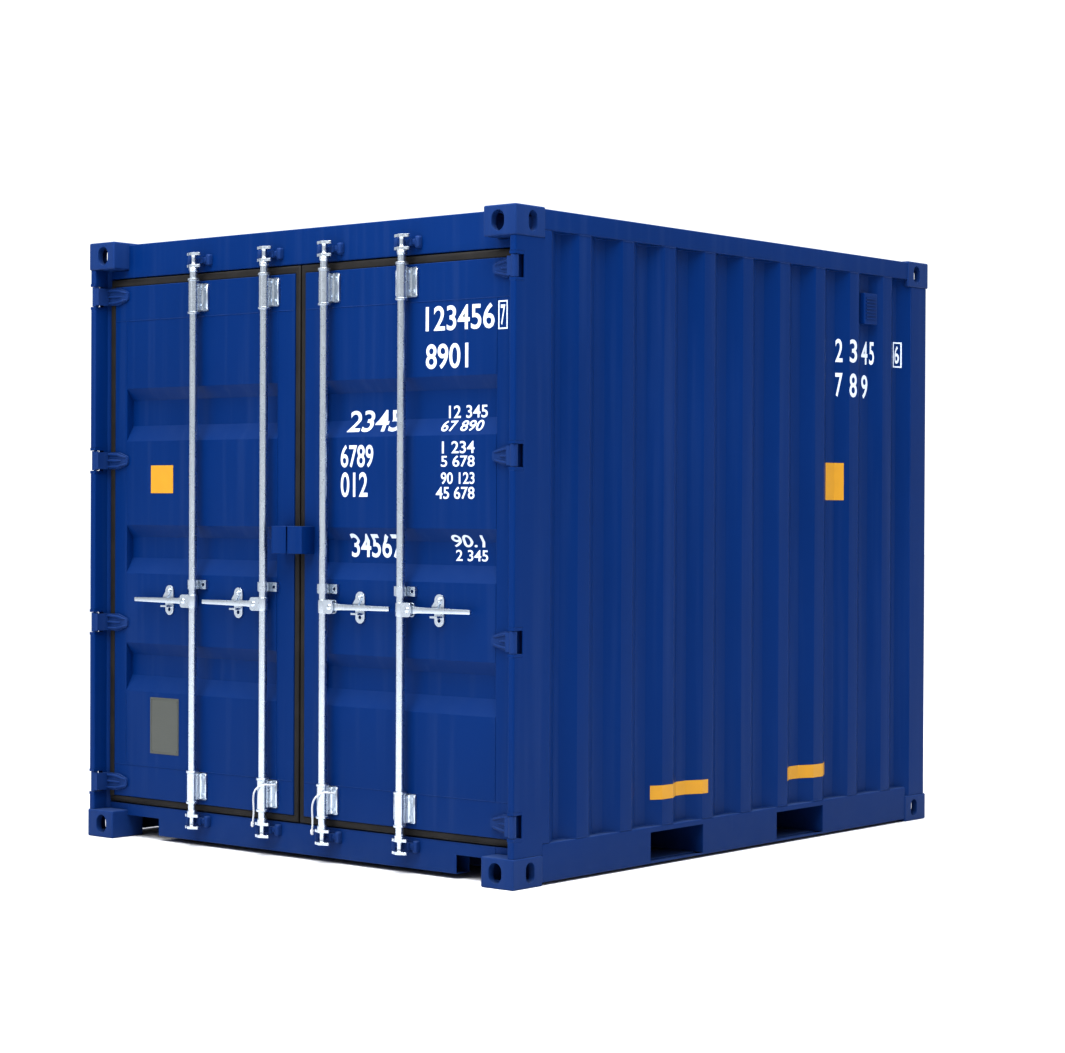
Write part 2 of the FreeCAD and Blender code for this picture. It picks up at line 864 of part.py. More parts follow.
def hinge_blade(z):
    """Forged hinge blade on the +Y leaf: knuckle, arm beside the leaf and strap on its face."""
    y_arm = pin_y - arm_start
    y_arm_in = y_arm - arm_thickness
    half = arm_height / 2.0
    rise = knuckle_height / 2.0
    knuckle = rod(knuckle_radius, Vector(pin_x, pin_y, z - rise), Vector(pin_x, pin_y, z + rise))
    front = pin_x - neck_half
    neck = block((front, pin_x + neck_half), (y_arm, pin_y), (z - half, z + half))
    arm = block((front, leaf_front), (y_arm_in, y_arm), (z - half, z + half))
    strap = prism([
        (y_arm, z - half),
        (y_arm, z + half),
        (y_arm - blade_shoulder, z + half, blade_shoulder_radius),
        (y_arm - blade_reach, z + blade_tip_half, blade_tip_radius),
        (y_arm - blade_reach, z - blade_tip_half, blade_tip_radius),
        (y_arm - blade_shoulder, z - half, blade_shoulder_radius),
    ], "yz", leaf_front - blade_thickness, leaf_front)
    bore = rod(
        pin_radius + pin_clearance,
        Vector(pin_x, pin_y, z - knuckle_height), Vector(pin_x, pin_y, z + knuckle_height),
    )
    return fuse([knuckle, neck, arm, strap]).cut(bore)


def hinge_lugs(z):
    """Two lug plates in the post's notch and the pin between them, on the +Y side."""
    inner = lug_opening / 2.0
    outer = inner + lug_thickness
    x = (post_front + lug_setback, post_front + notch_depth)
    y = (lip_inner, post_side)
    upper = block(x, y, (z + inner, z + outer))
    lower = block(x, y, (z - outer, z - inner))
    pin = rod(pin_radius, Vector(pin_x, pin_y, z - outer), Vector(pin_x, pin_y, z + outer))
    return fuse([upper, lower, pin])


def sleeve_bracket(y, sleeve, plate):
    """Rod guide: a long sleeve on a web and a base plate bolted to the leaf."""
    x_back = leaf_front
    base = prism([
        (y - plate_width / 2.0, plate[0], plate_corner),
        (y + plate_width / 2.0, plate[0], plate_corner),
        (y + plate_width / 2.0, plate[1], plate_corner),
        (y - plate_width / 2.0, plate[1], plate_corner),
    ], "yz", x_back - plate_thickness, x_back)
    web = block((rod_x, x_back), (y - web_width / 2.0, y + web_width / 2.0), plate)
    barrel = rod(sleeve_radius, Vector(rod_x, y, sleeve[0]), Vector(rod_x, y, sleeve[1]))
    start = Vector(rod_x, y, sleeve[0] - cut_past)
    hole = rod(rod_radius + sleeve_clearance, start, Vector(rod_x, y, sleeve[1] + cut_past))
    return fuse([base, web, barrel]).cut(hole)


def strap_bracket(y):
    """Small middle guide: a strap around the rod with a bolted foot each side."""
    low, high = middle_bracket
    half = middle_width / 2.0
    foot = block((leaf_front - middle_thickness, leaf_front), (y - half, y + half), middle_bracket)
    web = block((rod_x, leaf_front), (y - web_width / 2.0, y + web_width / 2.0), middle_bracket)
    ring = rod(sleeve_radius, Vector(rod_x, y, low), Vector(rod_x, y, high))
    start = Vector(rod_x, y, low - cut_past)
    cuts = [rod(rod_radius + sleeve_clearance, start, Vector(rod_x, y, high + cut_past))]
    middle = (low + high) / 2.0
    for side_sign in (-1, 1):
        place = y + side_sign * middle_hole_offset
        start = Vector(leaf_front - middle_thickness - cut_past, place, middle)
        cuts.append(rod(bracket_hole_radius, start, Vector(leaf_front + cut_past, place, middle)))
    return fuse([foot, web, ring]).cut(cuts)


def handle_catch(y, side_sign):
    """Catch behind a handle: oval plate, shelf under the handle and a riveted hasp."""
    centre = y + side_sign * catch_offset
    z = handle_height
    front = leaf_front - catch_thickness
    plate = stadium("yz", (centre, z), (catch_width, catch_height), front, leaf_front)
    hole_z = z - catch_height / 2.0 + catch_width / 2.0
    start = Vector(front - cut_past, centre, hole_z)
    hole = rod(catch_hole_radius, start, Vector(leaf_front + cut_past, centre, hole_z))
    shelf_top = z - handle_root_height / 2.0 - moving_gap
    shelf_half = catch_width / 2.0 - catch_shelf_inset
    shelf = block(
        (front - catch_shelf_depth, front),
        (centre - shelf_half, centre + shelf_half),
        (shelf_top - catch_shelf, shelf_top),
    )
    rivet_z = z + catch_height / 2.0 - catch_width / 2.0
    hasp_front = front - hasp_thickness
    rivet_start = Vector(hasp_front - rivet_head, centre, rivet_z)
    rivet = rod(rivet_radius, rivet_start, Vector(front, centre, rivet_z))
    hang = (hasp_width - hasp_length) / 2.0
    hasp = stadium("yz", (0.0, hang), (hasp_width, hasp_length), hasp_front, front)
    hasp.rotate(Vector(0, 0, 0), Vector(1, 0, 0), hasp_angle)
    hasp.translate(Vector(0, centre, rivet_z))
    return fuse([plate.cut(hole), shelf, rivet, hasp])


def lock_box_half():
    """Half of the padlock housing on the +Y leaf, open below and at the seam."""
    x = (door_x + box_front, leaf_front)
    outer = block(x, (box_seam_gap, box_half_width), (box_bottom, box_top))
    inner = block(
        (x[0] + box_wall, x[1] + cut_past),
        (box_seam_gap - cut_past, box_half_width - box_wall),
        (box_bottom - cut_past, box_top - box_wall),
    )
    return outer.cut(inner)


def make_doors():
    sides = (("left", 1, ("left_outer", "left_inner")), ("right", -1, ("right_inner", "right_outer")))
    for name, side_sign, rods in sides:
        mirrored = (lambda s: s) if side_sign > 0 else mirror_y
        write(name + "_door_frame", [mirrored(leaf_frame())])
        write(name + "_door_panel", [mirrored(leaf_panel())])
        write(name + "_door_gasket", [mirrored(leaf_gasket())])
        write(name + "_hinge_blades", [mirrored(hinge_blade(z)) for z in hinge_heights])
        brackets = []
        catches = []
        for rod_name in rods:
            y = rod_offsets[rod_name]
            brackets.append(sleeve_bracket(y, upper_sleeve, upper_plate))
            brackets.append(sleeve_bracket(y, lower_sleeve, lower_plate))
            brackets.append(strap_bracket(y))
            catches.append(handle_catch(y, side_sign))
        write(name + "_rod_brackets", brackets)
        write(name + "_handle_catches", catches)
        write(name + "_lock_box", [mirrored(lock_box_half())])
    plate = block(
        (leaf_front - data_plate_thickness, leaf_front),
        (data_plate_centre - data_plate_width / 2.0, data_plate_centre + data_plate_width / 2.0),
        (data_plate_bottom, data_plate_top),
    )
    write("data_plate", [plate])
    write("hinge_lugs", both_sides([hinge_lugs(z) for z in hinge_heights]))


# ---------------------------------------------------------------- rods, keepers and handles

def cam_lobe(y, low, high):
    """One prong plate of a cam: a round root with a tapering prong on each side."""
    root = rod(cam_root_radius, Vector(rod_x, y, low), Vector(rod_x, y, high))
    pieces = [root]
    for direction in (-1, 1):
        tip = y + direction * (cam_reach - cam_tip_radius)
        pieces.append(rod(cam_tip_radius, Vector(rod_x, tip, low), Vector(rod_x, tip, high)))
        pieces.append(prism([
            (rod_x - cam_tip_radius, tip),
            (rod_x + cam_tip_radius, tip),
            (rod_x + cam_prong_root, y),
            (rod_x - cam_prong_root, y),
        ], "xy", low, high))
    return fuse(pieces)


def cam(y, centre, inward):
    """Forged cam: two prong plates around a neck, with a collar on the rod's side."""
    half_gap = cam_gap / 2.0
    pieces = [
        rod(cam_neck_radius, Vector(rod_x, y, centre - half_gap), Vector(rod_x, y, centre + half_gap)),
        cam_lobe(y, centre - half_gap - cam_plate, centre - half_gap),
        cam_lobe(y, centre + half_gap, centre + half_gap + cam_plate),
    ]
    near = centre + inward * (half_gap + cam_plate)
    far = near + inward * cam_collar_height
    pieces.append(rod(cam_collar_radius, Vector(rod_x, y, near), Vector(rod_x, y, far)))
    return pieces, far


def lock_rod(y, side_sign):
    """Lock rod with its two cams and the hub that carries the handle."""
    bottom_pieces, start = cam(y, bottom_cam_centre, 1.0)
    top_pieces, end = cam(y, top_cam_centre, -1.0)
    bar = rod(rod_radius, Vector(rod_x, y, start), Vector(rod_x, y, end))
    z = handle_height
    half = hub_height / 2.0
    hub = rod(hub_radius, Vector(rod_x, y, z - half), Vector(rod_x, y, z + half))
    pin_place = y + side_sign * hub_pin_offset
    ears = []
    inner = handle_thickness / 2.0 + hub_side_gap
    for direction in (-1, 1):
        near = rod_x + direction * inner
        far = near + direction * hub_ear
        ears.append(prism([
            (y, z - half),
            (y + side_sign * hub_reach, z - half, hub_corner),
            (y + side_sign * hub_reach, z + half, hub_corner),
            (y, z + half),
        ], "yz", min(near, far), max(near, far)))
    reach = inner + hub_ear
    pin = rod(hub_pin_radius, Vector(rod_x - reach, pin_place, z), Vector(rod_x + reach, pin_place, z))
    return fuse([bar, hub, pin] + ears + bottom_pieces + top_pieces)


def handle(y, side_sign):
    """Flat lever on the hub's pin, tapering to its tip."""
    pin_place = y + side_sign * hub_pin_offset
    tip = y + side_sign * handle_reach
    z = handle_height
    root = handle_root_height / 2.0
    end = handle_tip_height / 2.0
    low = rod_x - handle_thickness / 2.0
    high = rod_x + handle_thickness / 2.0
    waist = pin_place + side_sign * handle_waist
    rise = handle_waist_rise
    lever = prism([
        (pin_place, z - root + rise),
        (waist, z - end - rise),
        (tip, z - end, handle_tip_corner),
        (tip, z + end, handle_tip_corner),
        (waist, z + end + rise),
        (pin_place, z + root - rise),
    ], "yz", low, high)
    eye = rod(hub_eye_radius, Vector(low, pin_place, z), Vector(high, pin_place, z))
    start = Vector(low - cut_past, pin_place, z)
    bore = rod(hub_pin_radius + pin_clearance, start, Vector(high + cut_past, pin_place, z))
    return fuse([lever, eye]).cut(bore)


def keeper(y, z):
    """Cam keeper on the header or sill: a base with two horns, all between the cam's prongs."""
    half = keeper_width / 2.0
    horn_half = cam_gap / 2.0 - moving_gap
    upright = (z - horn_half, z + horn_half)
    pieces = [block((header_front - keeper_base, header_front), (y - half, y + half), upright)]
    for side_sign in (-1, 1):
        centre = y + side_sign * horn_offset
        pieces.append(block(
            (header_front - horn_reach, header_front - keeper_base),
            (centre - horn_width / 2.0, centre + horn_width / 2.0),
            upright,
        ))
    return fuse(pieces)


def make_lock_gear():
    keepers = []
    for rod_name, y in rod_offsets.items():
        side_sign = 1 if y > 0.0 else -1
        write(rod_name + "_rod", [lock_rod(y, side_sign)])
        write(rod_name + "_handle", [handle(y, side_sign)])
        keepers.append(keeper(y, top_cam_centre))
        keepers.append(keeper(y, bottom_cam_centre))
    write("cam_keepers", keepers)


# ---------------------------------------------------------------- tie-back ropes

def rope_path(route):
    """Straight runs joined by tangent arcs through a list of points, and the arcs' radii."""
    starts = [route[0]]
    edges = []
    radii = []
    for before, here, after in zip(route, route[1:], route[2:]):
        back = before.sub(here)
        ahead = after.sub(here)
        short = min(back.Length, ahead.Length)
        turn = math.pi - back.getAngle(ahead)
        radius = 0.45 * short / math.tan(turn / 2.0)
        cut = 0.45 * short
        u = Vector(back).normalize()
        v = Vector(ahead).normalize()
        bisector = u.add(v).normalize()
        reach = radius / math.cos(turn / 2.0) - radius
        enter = here.add(Vector(u).multiply(cut))
        leave = here.add(Vector(v).multiply(cut))
        middle = here.add(Vector(bisector).multiply(reach))
        edges.append(Part.LineSegment(starts[-1], enter).toShape())
        edges.append(Part.Arc(enter, middle, leave).toShape())
        starts.append(leave)
        radii.append(radius)
    edges.append(Part.LineSegment(starts[-1], route[-1]).toShape())
    return Part.Wire(edges), radii


def make_ropes():
    """A short rope hanging on the lower bracket of each inner rod, with a knot at its end."""
    for name, places in rope_routes.items():
        axis = rod_offsets[name + "_inner"]
        route = [Vector(rod_x + x, axis + y, z) for x, y, z in places]
        route[0].x = leaf_front - plate_thickness
        path, radii = rope_path(route)
        start = route[0]
        circle = Part.Circle(start, route[1].sub(start), rope_radius).toShape()
        tube_shape = path.makePipeShell([Part.Wire([circle])], True, True)
        solid = tube_shape if tube_shape.Solids else Part.Solid(tube_shape)
        expected = math.pi * rope_radius ** 2 * path.Length
        ratio = solid.Volume / expected
        listed = ", ".join("%.0f" % radius for radius in radii)
        print("%s rope: length %.1f, volume ratio %.4f, radii %s" % (name, path.Length, ratio, listed))
        write(name + "_tieback_rope", [solid])
        end = route[-1]
        direction = end.sub(route[-2]).normalize()
        knot = rod(knot_radius, end, end.add(direction.multiply(knot_length)))
        write(name + "_rope_knot", [knot.makeFillet(knot_round, knot.Edges)])


def main():
    os.makedirs("parts", exist_ok=True)
    make_castings()
    make_frame()
    make_shell()
    make_floor()
    make_doors()
    make_lock_gear()
    make_ropes()


main()
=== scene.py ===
import json
import math

import bmesh
import bpy
from bpy.props import FloatProperty, FloatVectorProperty, IntProperty, PointerProperty
from bpy.types import Operator, Panel, PropertyGroup
from mathutils import Matrix, Vector
from mathutils.bvhtree import BVHTree

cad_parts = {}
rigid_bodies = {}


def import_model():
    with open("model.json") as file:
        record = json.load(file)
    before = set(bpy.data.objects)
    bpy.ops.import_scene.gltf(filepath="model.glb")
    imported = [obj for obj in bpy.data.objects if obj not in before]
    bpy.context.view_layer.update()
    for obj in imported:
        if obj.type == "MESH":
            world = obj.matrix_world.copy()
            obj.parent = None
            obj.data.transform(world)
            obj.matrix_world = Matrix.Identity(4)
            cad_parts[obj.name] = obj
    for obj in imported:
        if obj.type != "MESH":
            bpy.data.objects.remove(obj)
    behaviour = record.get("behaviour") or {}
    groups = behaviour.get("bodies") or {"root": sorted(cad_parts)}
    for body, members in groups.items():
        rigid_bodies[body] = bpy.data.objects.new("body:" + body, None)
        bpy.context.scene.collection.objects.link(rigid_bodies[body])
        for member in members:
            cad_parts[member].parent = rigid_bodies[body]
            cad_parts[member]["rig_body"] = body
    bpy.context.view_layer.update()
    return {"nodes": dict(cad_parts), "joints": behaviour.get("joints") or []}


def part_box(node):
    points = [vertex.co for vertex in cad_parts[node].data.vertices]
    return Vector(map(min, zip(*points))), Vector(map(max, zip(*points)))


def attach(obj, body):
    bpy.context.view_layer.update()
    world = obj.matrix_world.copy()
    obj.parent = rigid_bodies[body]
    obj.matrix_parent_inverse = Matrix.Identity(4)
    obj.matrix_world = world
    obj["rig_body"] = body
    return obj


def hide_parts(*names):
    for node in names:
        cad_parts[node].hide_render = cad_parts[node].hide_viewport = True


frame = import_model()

bl_info = {
    "name": "Ten-foot shipping container",
    "version": (1, 0, 0),
    "blender": (4, 5, 0),
    "location": "View3D > Sidebar > Container",
    "description": "Builds the finish and the fittings of a ten-foot shipping container",
    "category": "Add Mesh",
}

NODES = frame["nodes"]
JOINTS = {joint["name"]: joint for joint in frame["joints"]}
MM = 0.001


# ---------------------------------------------------------------- places from the frame

def place(node):
    """Lowest and highest corner of a CAD node, in millimetres."""
    low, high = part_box(node)
    return low / MM, high / MM


LEAF_LOW, LEAF_HIGH = place("left_door_frame")
SEAL_LOW, SEAL_HIGH = place("left_door_gasket")
LEAF_FRONT = LEAF_LOW.x
HEADER_FRONT = place("door_header")[0].x
PIN = Vector(JOINTS["left_door_hinge"]["pos_m"]) / MM
SIDES = {"left": 1.0, "right": -1.0}
ROD_NAMES = ("left_outer", "left_inner", "right_inner", "right_outer")
RODS = {name: Vector(JOINTS[name + "_rod_turn"]["pos_m"]) / MM for name in ROD_NAMES}
HANDLE_PINS = {name: Vector(JOINTS[name + "_handle_lift"]["pos_m"]) / MM for name in ROD_NAMES}
ROD_X = RODS["left_outer"].x
ROD_RADIUS = 17.0
ROD_LOW, ROD_HIGH = place("left_outer_rod")
HINGE_HEIGHTS = (2358.0, 1642.0, 936.0, 238.0)
# Foot and head of each long rod guide's sleeve, then of its plate.
SLEEVES = (((2257.0, 2408.0), (2270.0, 2388.0)), ((185.0, 325.0), (200.0, 315.0)))
CAM_HALF = 31.0
CAM_CENTRES = (ROD_LOW.z + CAM_HALF, ROD_HIGH.z - CAM_HALF)
HUB_HALF = 28.0
# Rays that look for a surface start this far out.
FAR = 3000.0


def linear(code):
    """Linear red, green and blue of an sRGB hex colour."""
    parts = [int(code[i:i + 2], 16) / 255.0 for i in (1, 3, 5)]
    return tuple(c / 12.92 if c <= 0.04045 else ((c + 0.055) / 1.055) ** 2.4 for c in parts)


# ---------------------------------------------------------------- settings

def distance(name, text, millimetres, low=0.0, high=1000.0):
    """A length setting whose default is given in millimetres."""
    return FloatProperty(
        name=name, description=text, default=millimetres * MM, min=low * MM, max=high * MM,
        unit="LENGTH", precision=4,
    )


def colour(name, text, code):
    """A colour setting whose default is an sRGB hex value."""
    return FloatVectorProperty(
        name=name, description=text, default=linear(code), size=3, min=0.0, max=1.0, subtype="COLOR",
    )


class ContainerSizes(PropertyGroup):
    """Sizes of the container's fittings."""
    weld_radius: distance("Weld bead", "Radius of the weld beads", 2.4, 0.5, 10.0)
    weld_ripple: distance("Weld ripple", "Distance between the ripples of a weld bead", 9.0, 2.0, 40.0)
    bolt_radius: distance("Bolt head", "Radius of the bolt heads on the rod guides", 7.5, 2.0, 20.0)
    bolt_height: distance("Bolt height", "Height of the bolt heads on the rod guides", 6.0, 1.0, 20.0)
    rivet_radius: distance("Rivet head", "Radius of the data plate's rivets", 3.2, 1.0, 10.0)
    screw_radius: distance("Floor screw", "Radius of the floor screws' heads", 7.0, 2.0, 20.0)
    collar_height: distance("Guide collar", "Height of the collar at each end of a rod guide", 11.0, 2.0, 30.0)
    ridge_radius: distance("Hinge ridge", "Radius of the ridges forged on a hinge blade", 6.0, 1.0, 15.0)
    marking_lift: distance("Marking lift", "Height of the painted markings over the sheet", 0.8, 0.1, 3.0)
    louvre_pitch: distance("Louvre pitch", "Distance between the louvres of a vent", 15.0, 5.0, 50.0)
    louvre_count: IntProperty(name="Louvres", description="Number of louvres in a vent", default=7, min=1, max=20)


class ContainerColours(PropertyGroup):
    """Colours of the container's finishes."""
    enamel: colour("Enamel", "Marine enamel on the body", "#01295f")
    dust: colour("Dust", "Dry dust on ledges and low down", "#66748f")
    galvanised: colour("Galvanised steel", "Zinc on the lock gear", "#ced6df")
    zinc_dark: colour("Zinc shadow", "Darker zinc grains", "#a9b4c0")
    rubber: colour("Rubber", "Door seals", "#161413")
    plywood: colour("Plywood", "Sealed floor boards", "#7a4f2c")
    plate: colour("Data plate", "Etched data plate", "#575a56")
    rope: colour("Rope", "Tie-back ropes", "#dfe2e6")
    white: colour("White marking", "White painted markings", "#d3dcea")
    yellow: colour("Yellow marking", "Yellow painted markings", "#bf8a14")
    floor: colour("Studio floor", "Plain pale floor", "#e4e4e6")


# ---------------------------------------------------------------- closed shapes, as points and faces

def loft(rings, closed=True):
    """Skin through rings of equal length, with flat ends unless the last ring joins the first."""
    count = len(rings[0])
    points = [tuple(p) for ring in rings for p in ring]
    faces = []
    for i in range(len(rings) - 1):
        for j in range(count):
            k = (j + 1) % count
            faces.append((i * count + j, i * count + k, (i + 1) * count + k, (i + 1) * count + j))
    if closed:
        faces.append(tuple(range(count))[::-1])
        faces.append(tuple(range((len(rings) - 1) * count, len(rings) * count)))
    else:
        last = (len(rings) - 1) * count
        for j in range(count):
            k = (j + 1) % count
            faces.append((last + j, last + k, k, j))
    return points, faces


def rounded(corners, steps=5):
    """Outline whose corners (u, v, radius) are rounded off."""
    outline = []
    count = len(corners)
    for i, (u, v, radius) in enumerate(corners):
        if radius <= 0.0:
            outline.append((u, v))
            continue
        here = Vector((u, v))
        back = Vector(corners[i - 1][:2]) - here
        ahead = Vector(corners[(i + 1) % count][:2]) - here
        half = back.angle(ahead) / 2.0
        cut = min(radius / math.tan(half), 0.49 * back.length, 0.49 * ahead.length)
        start = here + back.normalized() * cut
        end = here + ahead.normalized() * cut
        for j in range(steps + 1):
            t = j / steps
            outline.append(tuple((1 - t) ** 2 * start + 2 * t * (1 - t) * here + t * t * end))
    return outline


def prism(outline, plane, low, high):
    """Outline in a plane, between two distances along the plane's normal."""
    order = {"xy": (0, 1, 2), "yz": (1, 2, 0)}[plane]
    rings = []
    for level in (low, high):
        ring = []
        for u, v in outline:
            spot = [0.0, 0.0, 0.0]
            spot[order[0]] = u
            spot[order[1]] = v
            spot[order[2]] = level
            ring.append(spot)
        rings.append(ring)
    return loft(rings)


def frame_along(direction):
    """Two unit vectors square to a direction."""
    direction = Vector(direction).normalized()
    side = direction.cross(Vector((0.0, 0.0, 1.0)))
    if side.length < 0.01:
        side = Vector((1.0, 0.0, 0.0))
    side.normalize()
    return side, direction.cross(side)


def turned(profile, origin, direction=(0.0, 0.0, 1.0), sides=32, ring=False):
    """Profile (radius, distance) turned about an axis; a ring profile closes on itself."""
    origin = Vector(origin)
    direction = Vector(direction).normalized()
    side, other = frame_along(direction)
    rings = []
    for radius, along in profile:
        loop = []
        for j in range(sides):
            angle = 2.0 * math.pi * j / sides
            spoke = side * math.cos(angle) + other * math.sin(angle)
            loop.append(origin + direction * along + spoke * max(radius, 0.01))
        rings.append(loop)
    return loft(rings, closed=not ring)


def swept(path, radius, sides=10):
    """Round bar along a path; radius is a number or one for each point."""
    path = [Vector(p) for p in path]
    radii = radius if isinstance(radius, (list, tuple)) else [radius] * len(path)
    rings = []
    side = None
    for i, here in enumerate(path):
        ahead = path[min(i + 1, len(path) - 1)] - path[max(i - 1, 0)]
        ahead.normalize()
        if side is None:
            side = frame_along(ahead)[0]
        side = (side - ahead * side.dot(ahead)).normalized()
        other = ahead.cross(side)
        loop = []
        for j in range(sides):
            angle = 2.0 * math.pi * j / sides
            loop.append(here + (side * math.cos(angle) + other * math.sin(angle)) * radii[i])
        rings.append(loop)
    return loft(rings)


def dome(radius, height, origin, direction, sides=20, steps=4):
    """Low round head standing on a surface."""
    profile = [(radius, 0.0)]
    for i in range(1, steps + 1):
        angle = math.pi / 2.0 * i / steps
        profile.append((radius * math.cos(angle), height * math.sin(angle)))
    return turned(profile, origin, direction, sides)


# ---------------------------------------------------------------- making a piece

def linked(name, data):
    """Object around its data, in the scene."""
    item = bpy.data.objects.new(name, data)
    bpy.context.scene.collection.objects.link(item)
    return item


def evaluated_mesh(item):
    """Plain mesh of an object with its modifiers or its curve worked out."""
    graph = bpy.context.evaluated_depsgraph_get()
    return bpy.data.meshes.new_from_object(item.evaluated_get(graph))


def mesh_of(parts, name):
    """Plain mesh of closed parts in millimetres."""
    mesh = bpy.data.meshes.new(name)
    whole = bmesh.new()
    for points, faces in parts:
        made = [whole.verts.new(Vector(p) * MM) for p in points]
        for face in faces:
            whole.faces.new([made[i] for i in face])
    bmesh.ops.recalc_face_normals(whole, faces=whole.faces)
    whole.to_mesh(mesh)
    whole.free()
    return mesh


def soften(piece, bevel, sharp):
    """Smooth shading up to an angle, and a live bevel on the edges past it."""
    piece.data.shade_smooth()
    piece.data.set_sharp_from_angle(angle=math.radians(sharp))
    if bevel > 0.0:
        cut = piece.modifiers.new("rounded edges", "BEVEL")
        cut.width = bevel * MM
        cut.segments = 2
        cut.limit_method = "ANGLE"
        cut.angle_limit = math.radians(sharp)
        cut.harden_normals = True


def make(name, parts, material, body, replaces=(), bevel=0.0, sharp=38.0):
    """One named piece from closed parts, riding on a body."""
    piece = linked(name, mesh_of(parts, name))
    soften(piece, bevel, sharp)
    return dress(piece, material, body, replaces)


def dress(piece, material, body, replaces=()):
    """Material, body and replaced nodes of a finished piece."""
    piece.data.materials.clear()
    piece.data.materials.append(bpy.data.materials[material])
    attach(piece, body)
    if replaces:
        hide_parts(*replaces)
    return piece


def add_node(tree, kind, inputs=None, **settings):
    """Adds a node with its settings; inputs maps a socket to a value or to another node's output."""
    node = tree.nodes.new(kind)
    for name, value in settings.items():
        setattr(node, name, value)
    for key, value in (inputs or {}).items():
        if isinstance(value, bpy.types.NodeSocket):
            tree.links.new(value, node.inputs[key])
        else:
            node.inputs[key].default_value = value
    return node


# ---------------------------------------------------------------- materials

def new_material(name):
    """Empty material with its shader; returns the node tree and the shader."""
    material = bpy.data.materials.new(name)
    material.use_nodes = True
    tree = material.node_tree
    tree.nodes.clear()
    shader = add_node(tree, "ShaderNodeBsdfPrincipled")
    add_node(tree, "ShaderNodeOutputMaterial", {"Surface": shader.outputs["BSDF"]})
    return tree, shader


def rgba(values):
    return (*values, 1.0)


def enamel_material(name, colours, grain_mm, relief_mm, waviness_mm, wear):
    """Two-pack marine enamel sprayed over blasted steel: an even, saturated coat with a soft
    gloss, faint rain streaks, a little dust on ledges and a slight waviness of the sheet."""
    tree, shader = new_material(name)
    spot = add_node(tree, "ShaderNodeTexCoord").outputs["Object"]
    # Clouding of the coat, about a metre across.
    cloud = add_node(tree, "ShaderNodeTexNoise", {"Vector": spot, "Scale": 1.1, "Detail": 3.0})
    # Rain streaks, 45 mm wide and over a metre tall.
    tall = add_node(tree, "ShaderNodeMapping", {"Vector": spot, "Scale": (22.0, 22.0, 0.75)})
    streak = add_node(tree, "ShaderNodeTexNoise", {"Vector": tall.outputs[0], "Scale": 1.0, "Detail": 4.0})
    streak_amount = add_node(tree, "ShaderNodeMapRange", {
        "Value": streak.outputs[0], "From Min": 0.5, "From Max": 0.8, "To Min": wear, "To Max": wear + 0.05,
    })
    # Dust that settles on faces that look up.
    facing = add_node(tree, "ShaderNodeSeparateXYZ", {
        "Vector": add_node(tree, "ShaderNodeNewGeometry").outputs["Normal"],
    })
    speck = add_node(tree, "ShaderNodeTexNoise", {"Vector": spot, "Scale": 16.0, "Detail": 5.0})
    ledge = add_node(tree, "ShaderNodeMapRange", {
        "Value": facing.outputs["Z"], "From Min": 0.35, "From Max": 1.0, "To Min": 0.0, "To Max": 0.3,
    })
    ledge_dust = add_node(tree, "ShaderNodeMath", {0: ledge.outputs[0], 1: speck.outputs[0]}, operation="MULTIPLY")
    # Road film on the lowest 300 mm.
    height = add_node(tree, "ShaderNodeSeparateXYZ", {"Vector": spot})
    low = add_node(tree, "ShaderNodeMapRange", {
        "Value": height.outputs["Z"], "From Min": 0.0, "From Max": 0.3, "To Min": 0.08, "To Max": 0.0,
    })
    low_dust = add_node(tree, "ShaderNodeMath", {0: low.outputs[0], 1: speck.outputs[0]}, operation="MULTIPLY")
    dust = add_node(tree, "ShaderNodeMath", {0: ledge_dust.outputs[0], 1: low_dust.outputs[0]}, operation="ADD")
    total = add_node(tree, "ShaderNodeMath", {0: dust.outputs[0], 1: streak_amount.outputs[0]}, operation="MAXIMUM")
    deep = rgba([c * 0.84 for c in colours.enamel])
    light = rgba([min(1.0, c * 1.10) for c in colours.enamel])
    coat = add_node(tree, "ShaderNodeMix", {"Factor": cloud.outputs[0], 6: deep, 7: light}, data_type="RGBA")
    dirty = add_node(tree, "ShaderNodeMix", {
        "Factor": total.outputs[0], 6: coat.outputs[2], 7: rgba(colours.dust),
    }, data_type="RGBA")
    tree.links.new(dirty.outputs[2], shader.inputs["Base Color"])
    gloss = add_node(tree, "ShaderNodeMapRange", {
        "Value": cloud.outputs[0], "From Min": 0.3, "From Max": 0.7, "To Min": 0.36, "To Max": 0.48,
    })
    rough = add_node(tree, "ShaderNodeMath", {0: gloss.outputs[0], 1: dust.outputs[0]}, operation="ADD")
    tree.links.new(rough.outputs[0], shader.inputs["Roughness"])
    # The sheet's waviness is about 350 mm long; the orange peel is drawn coarse enough to show.
    wave = add_node(tree, "ShaderNodeTexNoise", {"Vector": spot, "Scale": 2.9, "Detail": 1.0})
    wavy = add_node(tree, "ShaderNodeBump", {
        "Height": wave.outputs[0], "Strength": 1.0, "Distance": waviness_mm * MM,
    })
    peel = add_node(tree, "ShaderNodeTexNoise", {"Vector": spot, "Scale": 1000.0 / grain_mm, "Detail": 2.0})
    bumpy = add_node(tree, "ShaderNodeBump", {
        "Height": peel.outputs[0], "Strength": 0.5, "Distance": relief_mm * MM, "Normal": wavy.outputs[0],
    })
    tree.links.new(bumpy.outputs[0], shader.inputs["Normal"])
    shader.inputs["Specular IOR Level"].default_value = 0.08


